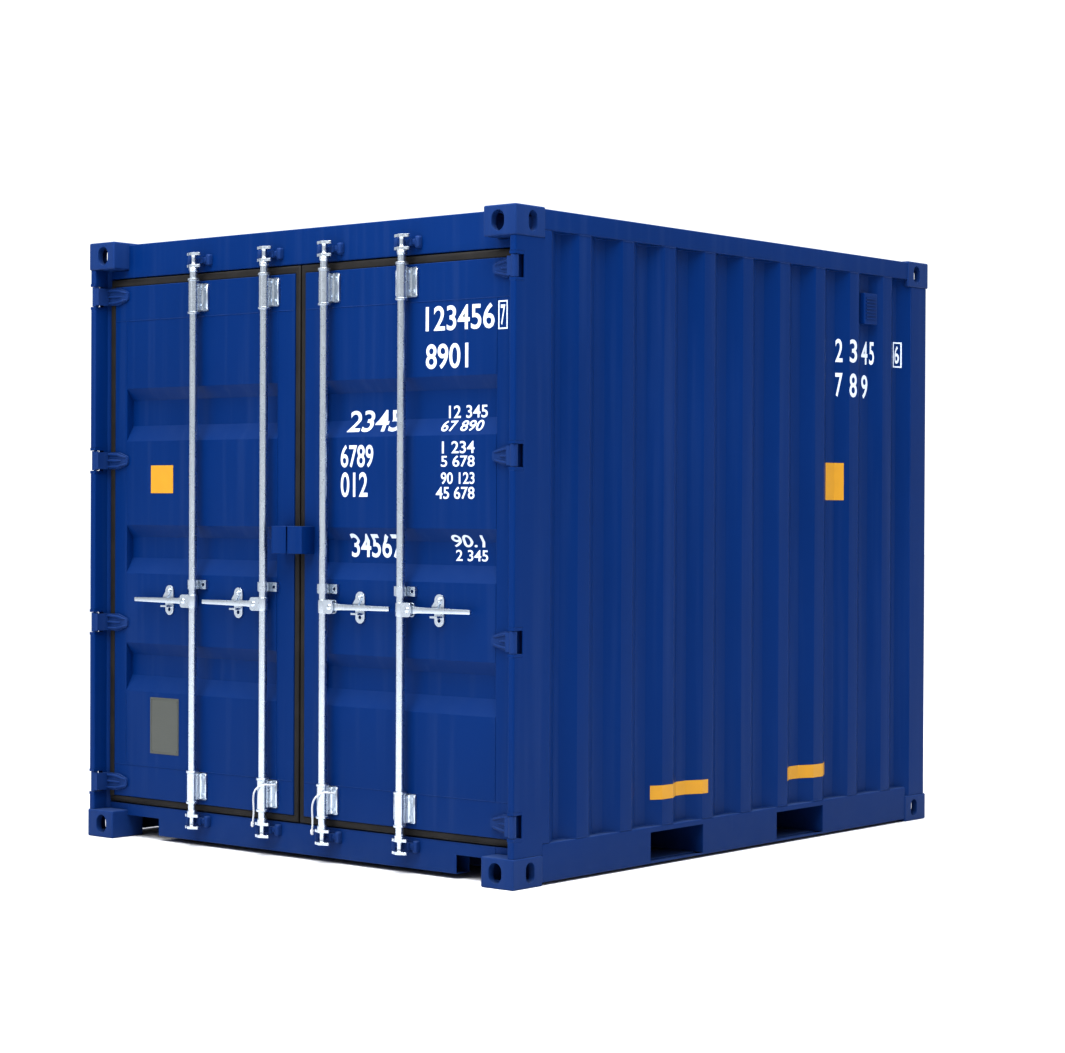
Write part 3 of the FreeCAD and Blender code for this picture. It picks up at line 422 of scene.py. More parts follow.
def galvanised_material(colours):
    """Hot-dip galvanised steel: a grey metal with 8 mm zinc grains that differ a little in
    brightness and gloss, as the crystals do on a fresh coat."""
    tree, shader = new_material("galvanised steel")
    spot = add_node(tree, "ShaderNodeTexCoord").outputs["Object"]
    grain = add_node(tree, "ShaderNodeTexVoronoi", {"Vector": spot, "Scale": 125.0, "Randomness": 1.0})
    value = add_node(tree, "ShaderNodeSeparateColor", {"Color": grain.outputs["Color"]})
    stain = add_node(tree, "ShaderNodeTexNoise", {"Vector": spot, "Scale": 9.0, "Detail": 4.0})
    grains = add_node(tree, "ShaderNodeMapRange", {
        "Value": value.outputs[0], "From Min": 0.0, "From Max": 1.0, "To Min": 0.35, "To Max": 0.75,
    })
    both = add_node(tree, "ShaderNodeMath", {0: grains.outputs[0], 1: stain.outputs[0]}, operation="MULTIPLY")
    mixed = add_node(tree, "ShaderNodeMix", {
        "Factor": both.outputs[0], 6: rgba(colours.galvanised), 7: rgba(colours.zinc_dark),
    }, data_type="RGBA")
    tree.links.new(mixed.outputs[2], shader.inputs["Base Color"])
    rough = add_node(tree, "ShaderNodeMapRange", {
        "Value": value.outputs[1], "From Min": 0.0, "From Max": 1.0, "To Min": 0.27, "To Max": 0.31,
    })
    tree.links.new(rough.outputs[0], shader.inputs["Roughness"])
    fine = add_node(tree, "ShaderNodeTexNoise", {"Vector": spot, "Scale": 350.0, "Detail": 2.0})
    bump = add_node(tree, "ShaderNodeBump", {"Height": fine.outputs[0], "Strength": 0.05, "Distance": 0.0004})
    tree.links.new(bump.outputs[0], shader.inputs["Normal"])
    shader.inputs["Metallic"].default_value = 1.0


def grained_material(name, first, second, grain, stretch=None, spread=None, gloss=None, relief=None, constants=()):
    """Material that runs between two colours along one grain, as the comments below describe each."""
    tree, shader = new_material(name)
    spot = add_node(tree, "ShaderNodeTexCoord").outputs["Object"]
    along = spot
    if stretch:
        along = add_node(tree, "ShaderNodeMapping", {"Vector": spot, **stretch}).outputs[0]
    pattern = add_node(tree, "ShaderNodeTexNoise", {"Vector": along, **grain}).outputs[0]
    amount = pattern
    if spread:
        amount = add_node(tree, "ShaderNodeMapRange", {"Value": pattern, **spread}).outputs[0]
    mixed = add_node(tree, "ShaderNodeMix", {"Factor": amount, 6: rgba(first), 7: rgba(second)}, data_type="RGBA")
    tree.links.new(mixed.outputs[2], shader.inputs["Base Color"])
    if gloss:
        low, high = gloss
        rough = add_node(tree, "ShaderNodeMapRange", {
            "Value": pattern, "From Min": 0.2, "From Max": 0.8, "To Min": low, "To Max": high,
        })
        tree.links.new(rough.outputs[0], shader.inputs["Roughness"])
    if relief:
        strength, depth, fine = relief
        height = pattern
        if fine:
            height = add_node(tree, "ShaderNodeTexNoise", {"Vector": spot, "Scale": fine, "Detail": 2.0}).outputs[0]
        bump = add_node(tree, "ShaderNodeBump", {"Height": height, "Strength": strength, "Distance": depth})
        tree.links.new(bump.outputs[0], shader.inputs["Normal"])
    for socket, value in constants:
        shader.inputs[socket].default_value = value


def darker(colour_values, share):
    """A colour with each channel brought down to a share of itself."""
    return [c * share for c in colour_values]


def grained_materials(colours):
    """Rubber, plywood, plate, rope and marking paints."""
    # Extruded EPDM rubber: brown-black, dull, with a faint bloom and fine grain.
    grained_material(
        "extruded rubber", colours.rubber, [min(1.0, 2.4 * c + 0.006) for c in colours.rubber],
        {"Scale": 7.0, "Detail": 5.0},
        spread={"From Min": 0.4, "From Max": 0.75, "To Min": 0.0, "To Max": 0.5},
        relief=(0.3, 0.0004, 400.0), constants=(("Roughness", 0.7), ("Specular IOR Level", 0.25)),
    )
    # Keruing-faced plywood under a resin film: long brown grain about 24 mm wide, semi-matt.
    grained_material(
        "sealed plywood", darker(colours.plywood, 0.55), colours.plywood,
        {"Scale": 1.0, "Detail": 6.0, "Distortion": 0.6}, stretch={"Scale": (1.6, 42.0, 42.0)},
        relief=(0.4, 0.0006, None), constants=(("Roughness", 0.5),),
    )
    # Etched aluminium plate: dull grey-olive metal with a brushed grain along it.
    grained_material(
        "etched plate", darker(colours.plate, 0.7), colours.plate,
        {"Scale": 1.0, "Detail": 3.0}, stretch={"Scale": (30.0, 12.0, 420.0)},
        gloss=(0.42, 0.6), constants=(("Metallic", 0.35),),
    )
    # Twisted polyester rope: pale, matt fibres that run slantwise round each strand.
    grained_material(
        "polyester rope", darker(colours.rope, 0.62), colours.rope,
        {"Scale": 1.0, "Detail": 2.0}, stretch={"Scale": (900.0, 900.0, 260.0), "Rotation": (0.5, 0.3, 0.0)},
        relief=(0.5, 0.0005, None), constants=(("Roughness", 0.8), ("Sheen Weight", 0.2)),
    )
    # Stencilled marking paint: flat and opaque, a little uneven so that it looks sprayed on.
    for name, base in (("white marking paint", colours.white), ("yellow marking paint", colours.yellow)):
        grained_material(name, darker(base, 0.86), base, {"Scale": 24.0, "Detail": 5.0}, gloss=(0.45, 0.6))


# ---------------------------------------------------------------- geometry nodes

def new_tree(name, sockets):
    """Geometry node tree with named inputs; returns the tree, its input node and its output node."""
    tree = bpy.data.node_groups.new(name, "GeometryNodeTree")
    tree.interface.new_socket("Geometry", in_out="INPUT", socket_type="NodeSocketGeometry")
    for label, kind in sockets:
        tree.interface.new_socket(label, in_out="INPUT", socket_type=kind)
    tree.interface.new_socket("Geometry", in_out="OUTPUT", socket_type="NodeSocketGeometry")
    return tree, add_node(tree, "NodeGroupInput"), add_node(tree, "NodeGroupOutput")


def finish_tree(tree, given, result, geometry):
    """Ends a tree in Realize Instances and Set Material."""
    real = add_node(tree, "GeometryNodeRealizeInstances", {0: geometry})
    painted = add_node(tree, "GeometryNodeSetMaterial", {0: real.outputs[0], "Material": given.outputs["Material"]})
    tree.links.new(painted.outputs[0], result.inputs[0])
    return tree


def weld_tree():
    """Weld bead along the edges of a mesh, with ripples of uneven size."""
    tree, given, result = new_tree("weld bead", (
        ("Bead Radius", "NodeSocketFloat"), ("Ripple Length", "NodeSocketFloat"),
        ("Unevenness", "NodeSocketFloat"), ("Seed", "NodeSocketInt"), ("Material", "NodeSocketMaterial"),
    ))
    line = add_node(tree, "GeometryNodeMeshToCurve", {0: given.outputs["Geometry"]})
    half = add_node(tree, "ShaderNodeMath", {0: given.outputs["Ripple Length"], 1: 0.5}, operation="MULTIPLY")
    fine = add_node(tree, "GeometryNodeResampleCurve", {0: line.outputs[0], "Length": half.outputs[0]}, mode="LENGTH")
    low = add_node(tree, "ShaderNodeMath", {0: 1.0, 1: given.outputs["Unevenness"]}, operation="SUBTRACT")
    high = add_node(tree, "ShaderNodeMath", {0: 1.0, 1: given.outputs["Unevenness"]}, operation="ADD")
    size = add_node(tree, "FunctionNodeRandomValue", {
        2: low.outputs[0], 3: high.outputs[0], "Seed": given.outputs["Seed"],
    }, data_type="FLOAT")
    circle = add_node(tree, "GeometryNodeCurvePrimitiveCircle", {
        "Resolution": 6, "Radius": given.outputs["Bead Radius"],
    })
    bead = add_node(tree, "GeometryNodeCurveToMesh", {
        0: fine.outputs[0], 1: circle.outputs[0], "Scale": size.outputs[1], "Fill Caps": True,
    })
    smooth = add_node(tree, "GeometryNodeSetShadeSmooth", {0: bead.outputs[0]})
    return finish_tree(tree, given, result, smooth.outputs[0])


def head_tree():
    """Six-sided heads on washers, one at each point, each turned a little differently."""
    tree, given, result = new_tree("fastener heads", (
        ("Head Radius", "NodeSocketFloat"), ("Head Height", "NodeSocketFloat"), ("Sides", "NodeSocketInt"),
        ("Facing", "NodeSocketVector"), ("Seed", "NodeSocketInt"), ("Material", "NodeSocketMaterial"),
    ))
    head = add_node(tree, "GeometryNodeMeshCylinder", {
        "Vertices": given.outputs["Sides"], "Radius": given.outputs["Head Radius"],
        "Depth": given.outputs["Head Height"],
    })
    wide = add_node(tree, "ShaderNodeMath", {0: given.outputs["Head Radius"], 1: 1.5}, operation="MULTIPLY")
    thin = add_node(tree, "ShaderNodeMath", {0: given.outputs["Head Height"], 1: 0.35}, operation="MULTIPLY")
    washer = add_node(tree, "GeometryNodeMeshCylinder", {
        "Vertices": 16, "Radius": wide.outputs[0], "Depth": thin.outputs[0],
    })
    both = add_node(tree, "GeometryNodeJoinGeometry")
    tree.links.new(head.outputs[0], both.inputs[0])
    tree.links.new(washer.outputs[0], both.inputs[0])
    spin = add_node(tree, "FunctionNodeRandomValue", {"Seed": given.outputs["Seed"]}, data_type="FLOAT_VECTOR")
    spin.inputs[0].default_value = (0.0, 0.0, 0.0)
    spin.inputs[1].default_value = (0.0, 0.0, 1.0)
    put = add_node(tree, "GeometryNodeInstanceOnPoints", {
        "Points": given.outputs["Geometry"], "Instance": both.outputs[0], "Rotation": given.outputs["Facing"],
    })
    twist = add_node(tree, "GeometryNodeRotateInstances", {0: put.outputs[0], "Rotation": spin.outputs[0]})
    return finish_tree(tree, given, result, twist.outputs[0])


def louvre_tree():
    """Row of louvre blades, one at each step down from every point; the slope turns each blade."""
    tree, given, result = new_tree("louvres", (
        ("Blade Size", "NodeSocketVector"), ("Slope", "NodeSocketVector"), ("Pitch", "NodeSocketFloat"),
        ("Count", "NodeSocketInt"), ("Material", "NodeSocketMaterial"),
    ))
    step = add_node(tree, "ShaderNodeMath", {0: given.outputs["Pitch"], 1: -1.0}, operation="MULTIPLY")
    down = add_node(tree, "ShaderNodeCombineXYZ", {"Z": step.outputs[0]})
    row = add_node(tree, "GeometryNodeMeshLine", {"Count": given.outputs["Count"], "Offset": down.outputs[0]})
    blade = add_node(tree, "GeometryNodeMeshCube", {"Size": given.outputs["Blade Size"]})
    blades = add_node(tree, "GeometryNodeInstanceOnPoints", {
        "Points": row.outputs[0], "Instance": blade.outputs[0], "Rotation": given.outputs["Slope"],
    })
    rows = add_node(tree, "GeometryNodeInstanceOnPoints", {
        "Points": given.outputs["Geometry"], "Instance": blades.outputs[0],
    })
    return finish_tree(tree, given, result, rows.outputs[0])


def grow(name, points, edges, tree, values, material, body):
    """Runs a geometry node tree on points and edges in millimetres and keeps the plain mesh."""
    seed_mesh = bpy.data.meshes.new(name + "_seed")
    seed_mesh.from_pydata([Vector(p) * MM for p in points], edges, [])
    seed = linked(name + "_seed", seed_mesh)
    modifier = seed.modifiers.new("growth", "NODES")
    modifier.node_group = tree
    values = dict(values, Material=bpy.data.materials[material])
    for item in tree.interface.items_tree:
        if item.item_type == "SOCKET" and item.in_out == "INPUT" and item.name in values:
            modifier[item.identifier] = values[item.name]
    mesh = evaluated_mesh(seed)
    seed.modifiers.remove(modifier)
    bpy.data.objects.remove(seed)
    bpy.data.meshes.remove(seed_mesh)
    mesh.name = name
    mesh.set_sharp_from_angle(angle=math.radians(38.0))
    return dress(linked(name, mesh), material, body)


# ---------------------------------------------------------------- pieces from the construction

def merged(name, node, material, bevel=0.0, extra=(), sharp=38.0):
    """Piece in the shape of a CAD node with its triangles merged, its edges rounded and parts added."""
    mesh = NODES[node].data.copy()
    mesh.name = name
    whole = bmesh.new()
    whole.from_mesh(mesh)
    bmesh.ops.remove_doubles(whole, verts=whole.verts, dist=0.00002)
    edges = [e for e in whole.edges if len(e.link_faces) == 2]
    bmesh.ops.dissolve_limit(
        whole, angle_limit=math.radians(0.5), verts=whole.verts, edges=edges, delimit={"NORMAL"},
    )
    if extra:
        added = mesh_of(extra, "added")
        whole.from_mesh(added)
        bpy.data.meshes.remove(added)
    whole.to_mesh(mesh)
    whole.free()
    mesh.materials.clear()
    piece = linked(name, mesh)
    if mesh.has_custom_normals:
        mesh.attributes.remove(mesh.attributes["custom_normal"])
    soften(piece, bevel, sharp)
    return dress(piece, material, NODES[node]["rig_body"], (node,))


# ---------------------------------------------------------------- painted shell

BEVELS = {
    "corner_castings_top": 5.0, "corner_castings_bottom": 5.0, "door_post_left": 4.0, "door_post_right": 4.0,
    "blind_post_left": 3.0, "blind_post_right": 3.0, "side_top_rail_left": 5.0, "side_top_rail_right": 5.0,
    "side_bottom_rail_left": 3.0, "side_bottom_rail_right": 3.0, "door_header": 3.0, "door_sill": 3.0,
    "end_top_rail": 5.0, "end_bottom_rail": 3.0, "side_wall_left": 0.0, "side_wall_right": 0.0,
    "end_wall": 0.0, "roof_panel": 0.0, "floor_cross_members": 1.5, "fork_pockets": 1.5, "hinge_lugs": 1.5,
    "left_door_frame": 3.0, "right_door_frame": 3.0, "left_door_panel": 0.0, "right_door_panel": 0.0,
    "left_hinge_blades": 2.5, "right_hinge_blades": 2.5, "cam_keepers": 2.5,
    "left_lock_box": 3.0, "right_lock_box": 3.0,
}


class CONTAINER_OT_materials(Operator):
    """Makes the container's materials"""
    bl_idname = "container.materials"
    bl_label = "Materials"

    def execute(self, context):
        colours = context.scene.container_colours
        enamel_material("marine enamel", colours, 3.0, 0.12, 1.1, 0.0)
        enamel_material("cast enamel", colours, 7.0, 0.5, 0.5, 0.06)
        galvanised_material(colours)
        grained_materials(colours)
        return {"FINISHED"}


class CONTAINER_OT_shell(Operator):
    """Makes the painted steel parts with rounded edges and dresses the floor boards"""
    bl_idname = "container.shell"
    bl_label = "Painted shell"

    def execute(self, context):
        for node, bevel in BEVELS.items():
            extra = ()
            if "blades" in node:
                extra = hinge_ridges(context, SIDES[node.split("_")[0]])
            if "keepers" in node:
                extra = keeper_cheeks()
            finish = "cast enamel" if extra or "casting" in node else "marine enamel"
            merged(node + "_finish", node, finish, bevel, extra=extra)
        merged("floor_boards_finish", "floor_boards", "sealed plywood", 1.5)
        return {"FINISHED"}


def keeper_cheeks():
    """Cast cheeks beside each cam, joined to the keeper's horns by a bridge between the prongs."""
    # Bridge and cheek: nearest and farthest from the cam, half height, depth, share of the inset inwards.
    shapes = ((26.0, 50.0, 13.0, 19.0, 0.0), (44.0, 68.0, 24.0, 21.5, 1.0))
    parts = []
    for rod in ROD_NAMES:
        y = RODS[rod].y
        for z in CAM_CENTRES:
            for direction in (-1.0, 1.0):
                for near, far, half, deepest, draw in shapes:
                    rings = []
                    for share, inset in ((0.0, 0.0), (0.6, 0.0), (0.88, 2.0), (1.0, 6.0)):
                        start = y + direction * (near + inset * draw)
                        end = y + direction * (far - inset)
                        rise = half - inset
                        ring = rounded([
                            (start, z - rise, 5.0), (end, z - rise, 9.0), (end, z + rise, 9.0), (start, z + rise, 5.0),
                        ], 4)
                        rings.append([(HEADER_FRONT - deepest * share, u, v) for u, v in ring])
                    parts.append(loft(rings))
    return parts


def hinge_ridges(context, side):
    """Three raised ridges forged along each hinge blade, the middle one shorter."""
    radius = context.scene.container_sizes.ridge_radius / MM
    x = LEAF_FRONT - 10.0 - radius * 0.25
    start = side * (PIN.y - 30.0)
    # Share of the ridge's length, how deep its axis sinks there, and share of its radius.
    stations = ((0.0, 0.0, 1.0), (0.15, 0.0, 1.0), (0.5, 0.0, 1.0), (0.8, 0.0, 0.9), (0.93, 2.0, 0.7), (1.0, 8.0, 0.3))
    bend = 0.45
    ridges = []
    for z in HINGE_HEIGHTS:
        for rise, fall, reach in ((27.0, 13.0, 116.0), (0.0, 0.0, 84.0), (-27.0, -13.0, 116.0)):
            path = []
            for share, sink, size in stations:
                lean = rise + (fall - rise) * max(0.0, (share - bend) / (1.0 - bend))
                path.append((x + sink, start - side * reach * share, z + lean))
            ridges.append(swept(path, [radius * size for share, sink, size in stations], 10))
    return ridges


class CONTAINER_OT_seals(Operator):
    """Makes the rubber seal around each door leaf"""
    bl_idname = "container.seals"
    bl_label = "Door seals"

    def execute(self, context):
        # Across the seal from the leaf's edge (0) to its outer edge (1), and behind the leaf's face.
        profile = (
            (0.0, 8.0), (0.06, 5.0), (0.18, 3.4), (0.4, 3.0), (0.6, 3.0), (0.8, 3.5), (0.94, 5.0), (1.0, 8.0),
            (1.0, 12.0), (0.94, 16.0), (0.82, 18.0), (0.81, 30.0), (0.81, 50.0), (0.0, 50.0),
        )
        inner = (LEAF_LOW.y, LEAF_HIGH.y, LEAF_LOW.z, LEAF_HIGH.z)
        outer = (SEAL_LOW.y, SEAL_HIGH.y, SEAL_LOW.z, SEAL_HIGH.z)
        for name, side in SIDES.items():
            rings = []
            for i, k in ((0, 2), (1, 2), (1, 3), (0, 3)):
                ring = []
                for t, depth in profile:
                    y = inner[i] + (outer[i] - inner[i]) * t
                    z = inner[k] + (outer[k] - inner[k]) * t
                    ring.append((LEAF_FRONT + depth, side * y, z))
                rings.append(ring)
            # The flap that laps over the leaf's hinge edge.
            edge = side * LEAF_HIGH.y
            flap = prism(rounded([
                (LEAF_FRONT - 3.2, edge - side * 25.0, 1.5), (LEAF_FRONT - 3.2, edge + side * 1.0, 1.5),
                (LEAF_FRONT + 2.0, edge + side * 1.0, 0.0), (LEAF_FRONT + 2.0, edge - side * 25.0, 0.0),
            ], 3), "xy", LEAF_LOW.z - 2.0, LEAF_HIGH.z + 2.0)
            make(
                name + "_door_seal", [loft(rings, closed=False), flap], "extruded rubber", name + "_door",
                (name + "_door_gasket",), sharp=50.0,
            )
        return {"FINISHED"}


# ---------------------------------------------------------------- lock gear

def guide_parts(context, y, sleeve, plate):
    """Collars on a long rod guide, raised vertical edges on its plate and cheeks beside its web."""
    low, high = sleeve
    tall = context.scene.container_sizes.collar_height / MM
    bore = ROD_RADIUS + 0.5
    parts = []
    for start, inward in ((low, 1.0), (high, -1.0)):
        ring = [
            (bore, start), (24.5, start), (26.0, start + inward * 1.5), (26.0, start + inward * (tall - 2.0)),
            (22.5, start + inward * tall), (bore, start + inward * tall),
        ]
        parts.append(turned(ring, (ROD_X, y, 0.0), sides=40, ring=True))
    face = LEAF_FRONT - 8.0
    for direction in (-1.0, 1.0):
        edge = y + direction * 53.0
        parts.append(swept([
            (face + 2.0, edge, plate[0] + 7.0), (face, edge, plate[0] + 11.0), (face, edge, plate[1] - 11.0),
            (face + 2.0, edge, plate[1] - 7.0),
        ], [3.5, 5.0, 5.0, 3.5], 12))
        # Cheeks from the sleeve's flanks down to the plate.
        near = y + direction * 20.0
        outline = [
            (ROD_X + 6.0, near), (ROD_X + 4.0, y + direction * 17.9), (face + 1.0, y + direction * 17.9),
            (face + 1.0, y + direction * 30.0), (face - 4.0, near + direction * 3.0),
        ]
        parts.append(prism(outline, "xy", plate[0] + 4.0, plate[1] - 4.0))
    return parts


class CONTAINER_OT_guides(Operator):
    """Makes the rod guides on both doors"""
    bl_idname = "container.guides"
    bl_label = "Rod guides"

    def execute(self, context):
        for name in SIDES:
            parts = []
            for rod in ROD_NAMES:
                if rod.startswith(name):
                    for sleeve, plate in SLEEVES:
                        parts += guide_parts(context, RODS[rod].y, sleeve, plate)
            merged(
                name + "_rod_guides", name + "_rod_brackets", "galvanised steel", 1.2,
                extra=parts,
            )
        return {"FINISHED"}


def cam_parts(y, centre, inward):
    """Forged cam with two prong plates, its neck and the collar on the rod's side."""
    parts = []
    outline = []
    steps = 14
    tip, tip_radius = 30.0, 9.0
    for direction in (1.0, -1.0):
        for j in range(steps + 1):
            angle = -math.pi / 2.0 + math.pi * j / steps
            outline.append((
                tip_radius * math.sin(angle) * direction, direction * (tip + tip_radius * math.cos(angle)),
            ))
        outline.append((direction * 15.0, direction * 15.0))
        outline.append((direction * 20.5, direction * 5.0))
        outline.append((direction * 20.5, -direction * 5.0))
        outline.append((direction * 15.0, -direction * 15.0))
    shape = [(ROD_X + u, y + v) for u, v in outline]
    thick = 12.0
    for low in (centre - CAM_HALF, centre + CAM_HALF - thick):
        parts.append(prism(shape, "xy", low, low + thick))
    parts.append(turned([
        (14.0, centre - 21.0), (10.5, centre - 15.0), (10.0, centre - 8.0), (10.0, centre + 8.0),
        (10.5, centre + 15.0), (14.0, centre + 21.0),
    ], (ROD_X, y, 0.0), sides=28))
    near = centre + inward * 30.0
    far = centre + inward * 47.0
    parts.append(turned([
        (20.5, near), (21.0, near + inward * 1.0), (21.0, far - inward * 3.0), (18.5, far),
    ][::1 if inward > 0 else -1], (ROD_X, y, 0.0), sides=32))
    return parts, far


class CONTAINER_OT_rods(Operator):
    """Makes the lock rods with their cams, weld collars and hubs"""
    bl_idname = "container.rods"
    bl_label = "Lock rods"

    def execute(self, context):
        for name in ROD_NAMES:
            y = RODS[name].y
            side = SIDES[name.split("_")[0]]
            z = HANDLE_PINS[name].z
            parts, start = cam_parts(y, CAM_CENTRES[0], 1.0)
            upper, end = cam_parts(y, CAM_CENTRES[1], -1.0)
            parts += upper
            # Weld rings where the tube enters the cams' collars.
            for level, inward in ((start, 1.0), (end, -1.0)):
                ring = [
                    (17.2, level - inward * 1.0), (19.6, level), (18.6, level + inward * 2.5),
                    (17.2, level + inward * 3.5),
                ]
                parts.append(turned(ring[::1 if inward > 0 else -1], (ROD_X, y, 0.0), sides=28))
            parts.append(turned([(ROD_RADIUS, start - 4.0), (ROD_RADIUS, end + 4.0)], (ROD_X, y, 0.0), sides=48))
            # Hub and its two ears.
            foot, head = z - HUB_HALF, z + HUB_HALF
            parts.append(turned([
                (18.0, foot), (20.0, foot + 2.0), (20.5, z - 12.0), (20.5, z + 12.0), (20.0, head - 2.0), (18.0, head),
            ], (ROD_X, y, 0.0), sides=36))
            reach = y + side * 66.0
            ear = rounded([(y, foot, 0.0), (reach, foot, 16.0), (reach, head, 16.0), (y, head, 0.0)], 8)
            for near, far in ((-15.0, -7.0), (7.0, 15.0)):
                parts.append(prism(ear, "yz", ROD_X + near, ROD_X + far))
            pin = HANDLE_PINS[name].y
            parts.append(turned([(7.0, -16.0), (7.0, 16.0)], (ROD_X, pin, z), (1.0, 0.0, 0.0), 24))
            parts.append(dome(13.0, 6.0, (ROD_X - 14.5, pin, z), (-1.0, 0.0, 0.0), 28, 5))
            parts.append(dome(12.0, 4.0, (ROD_X + 14.5, pin, z), (1.0, 0.0, 0.0), 24, 4))
            make(
                name + "_bar", parts, "galvanised steel", name + "_rod", (name + "_rod",),
                bevel=1.2,
            )
        return {"FINISHED"}


class CONTAINER_OT_handles(Operator):
    """Makes the drop-forged levers"""
    bl_idname = "container.handles"
    bl_label = "Handles"

    def execute(self, context):
        reach = place("left_outer_handle")[1].y - HANDLE_PINS["left_outer"].y
        # Distance from the pin, half height and half thickness; the waist is pinched flat.
        stations = (
            (11.0, 14.2, 6.0), (18.0, 15.0, 6.0), (30.0, 14.4, 5.9), (44.0, 12.6, 5.4), (56.0, 12.0, 4.2),
            (66.0, 12.2, 4.0), (76.0, 12.0, 4.4), (90.0, 11.4, 5.6), (108.0, 11.2, 6.0), (200.0, 10.3, 6.0),
            (reach - 4.0, 9.0, 6.0), (reach - 0.8, 8.4, 5.2), (reach, 7.4, 4.4),
        )
        for name in ROD_NAMES:
            side = SIDES[name.split("_")[0]]
            pin = HANDLE_PINS[name]
            rings = []
            for along, tall, thick in stations:
                corner = min(2.2, thick * 0.5)
                ring = rounded([
                    (-thick, -tall, corner), (thick, -tall, corner), (thick, tall, corner), (-thick, tall, corner),
                ], 3)
                rings.append([(ROD_X + u, pin.y + side * along, pin.z + v) for u, v in ring])
            eye = turned([
                (7.5, -6.0), (15.0, -6.0), (16.0, -5.0), (16.0, 5.0), (15.0, 6.0), (7.5, 6.0),
            ], (ROD_X, pin.y, pin.z), (1.0, 0.0, 0.0), 36, ring=True)
            make(
                name + "_lever", [loft(rings), eye], "galvanised steel", name + "_handle",
                (name + "_handle",), sharp=32.0,
            )
        return {"FINISHED"}


class CONTAINER_OT_catches(Operator):
    """Makes the handle catches"""
    bl_idname = "container.catches"
    bl_label = "Handle catches"

    def execute(self, context):
        for name, side in SIDES.items():
            heads = []
            for rod in ROD_NAMES:
                if rod.startswith(name):
                    centre = RODS[rod].y + side * 178.0
                    rivet = HANDLE_PINS[rod].z + 39.0
                    heads.append(dome(9.0, 3.2, (LEAF_FRONT - 14.0, centre, rivet), (-1.0, 0.0, 0.0), 20, 4))
            merged(
                name + "_catches", name + "_handle_catches", "galvanised steel",
                1.2, extra=heads,
            )
        return {"FINISHED"}


# ---------------------------------------------------------------- vents, plate and markings

class CONTAINER_OT_vents(Operator):
    """Makes the ventilator covers with their louvres"""
    bl_idname = "container.vents"
    bl_label = "Ventilators"

    def execute(self, context):
        sizes = context.scene.container_sizes
        merged("vent_covers", "side_vents", "marine enamel", 2.5)
        low, high = place("side_vents")
        centre = (low.x + high.x) / 2.0
        starts = [(centre, y, high.z - 24.0) for y in (low.y, high.y)]
        values = {
            "Blade Size": ((high.x - low.x - 30.0) * MM, 0.007, 0.006), "Slope": (0.0, 0.0, 0.0),
            "Pitch": sizes.louvre_pitch, "Count": sizes.louvre_count,
        }
        grow("vent_louvres", starts, [], louvre_tree(), values, "marine enamel", "container")
        return {"FINISHED"}


class CONTAINER_OT_plate(Operator):
    """Makes the blank data plate with its rim and rivets"""
    bl_idname = "container.plate"
    bl_label = "Data plate"

    def execute(self, context):
        low, high = place("data_plate")
        outline = rounded([
            (low.y, low.z, 4.0), (high.y, low.z, 4.0), (high.y, high.z, 4.0), (low.y, high.z, 4.0),
        ])
        parts = [prism(outline, "yz", low.x, high.x)]
        rim = ((6.0, 0.0), (6.5, -1.2), (8.5, -1.2), (9.0, 0.0))
        corners = ((low.y, low.z, 1, 1), (high.y, low.z, -1, 1), (high.y, high.z, -1, -1), (low.y, high.z, 1, -1))
        rings = []
        for y, z, u, v in corners:
            rings.append([(low.x + 0.1 + depth, y + u * inset, z + v * inset) for inset, depth in rim])
        parts.append(loft(rings, closed=False))
        radius = context.scene.container_sizes.rivet_radius / MM
        for y, z, u, v in corners:
            parts.append(dome(radius, 2.0, (low.x, y + u * 14.0, z + v * 14.0), (-1.0, 0.0, 0.0), 14, 3))
        make("blank_data_plate", parts, "etched plate", "left_door", ("data_plate",))
        return {"FINISHED"}


def flat_text(text, left, right, low, high):
    """Plain figures filling a rectangle, as triangles in (across, up)."""
    curve = bpy.data.curves.new("figures", "FONT")
    curve.body = text
    curve.offset = 0.014
    holder = linked("figures", curve)
    mesh = evaluated_mesh(holder)
    bpy.data.objects.remove(holder)
    bpy.data.curves.remove(curve)
    us = [v.co.x for v in mesh.vertices]
    vs = [v.co.y for v in mesh.vertices]
    points = []
    for u, v in zip(us, vs):
        points.append((
            left + (u - min(us)) / (max(us) - min(us)) * (right - left),
            low + (v - min(vs)) / (max(vs) - min(vs)) * (high - low),
        ))
    faces = [tuple(p.vertices) for p in mesh.polygons]
    bpy.data.meshes.remove(mesh)
    return points, faces


def flat_patch(left, right, low, high):
    """Plain filled rectangle."""
    return [(left, low), (right, low), (right, high), (left, high)], [(0, 1, 2, 3)]


def flat_box(left, right, low, high, line):
    """Rectangular outline with a given line width."""
    points = [
        (left, low), (right, low), (right, high), (left, high),
        (left + line, low + line), (right - line, low + line), (right - line, high - line), (left + line, high - line),
    ]
    return points, [(0, 1, 5, 4), (1, 2, 6, 5), (2, 3, 7, 6), (3, 0, 4, 7)]


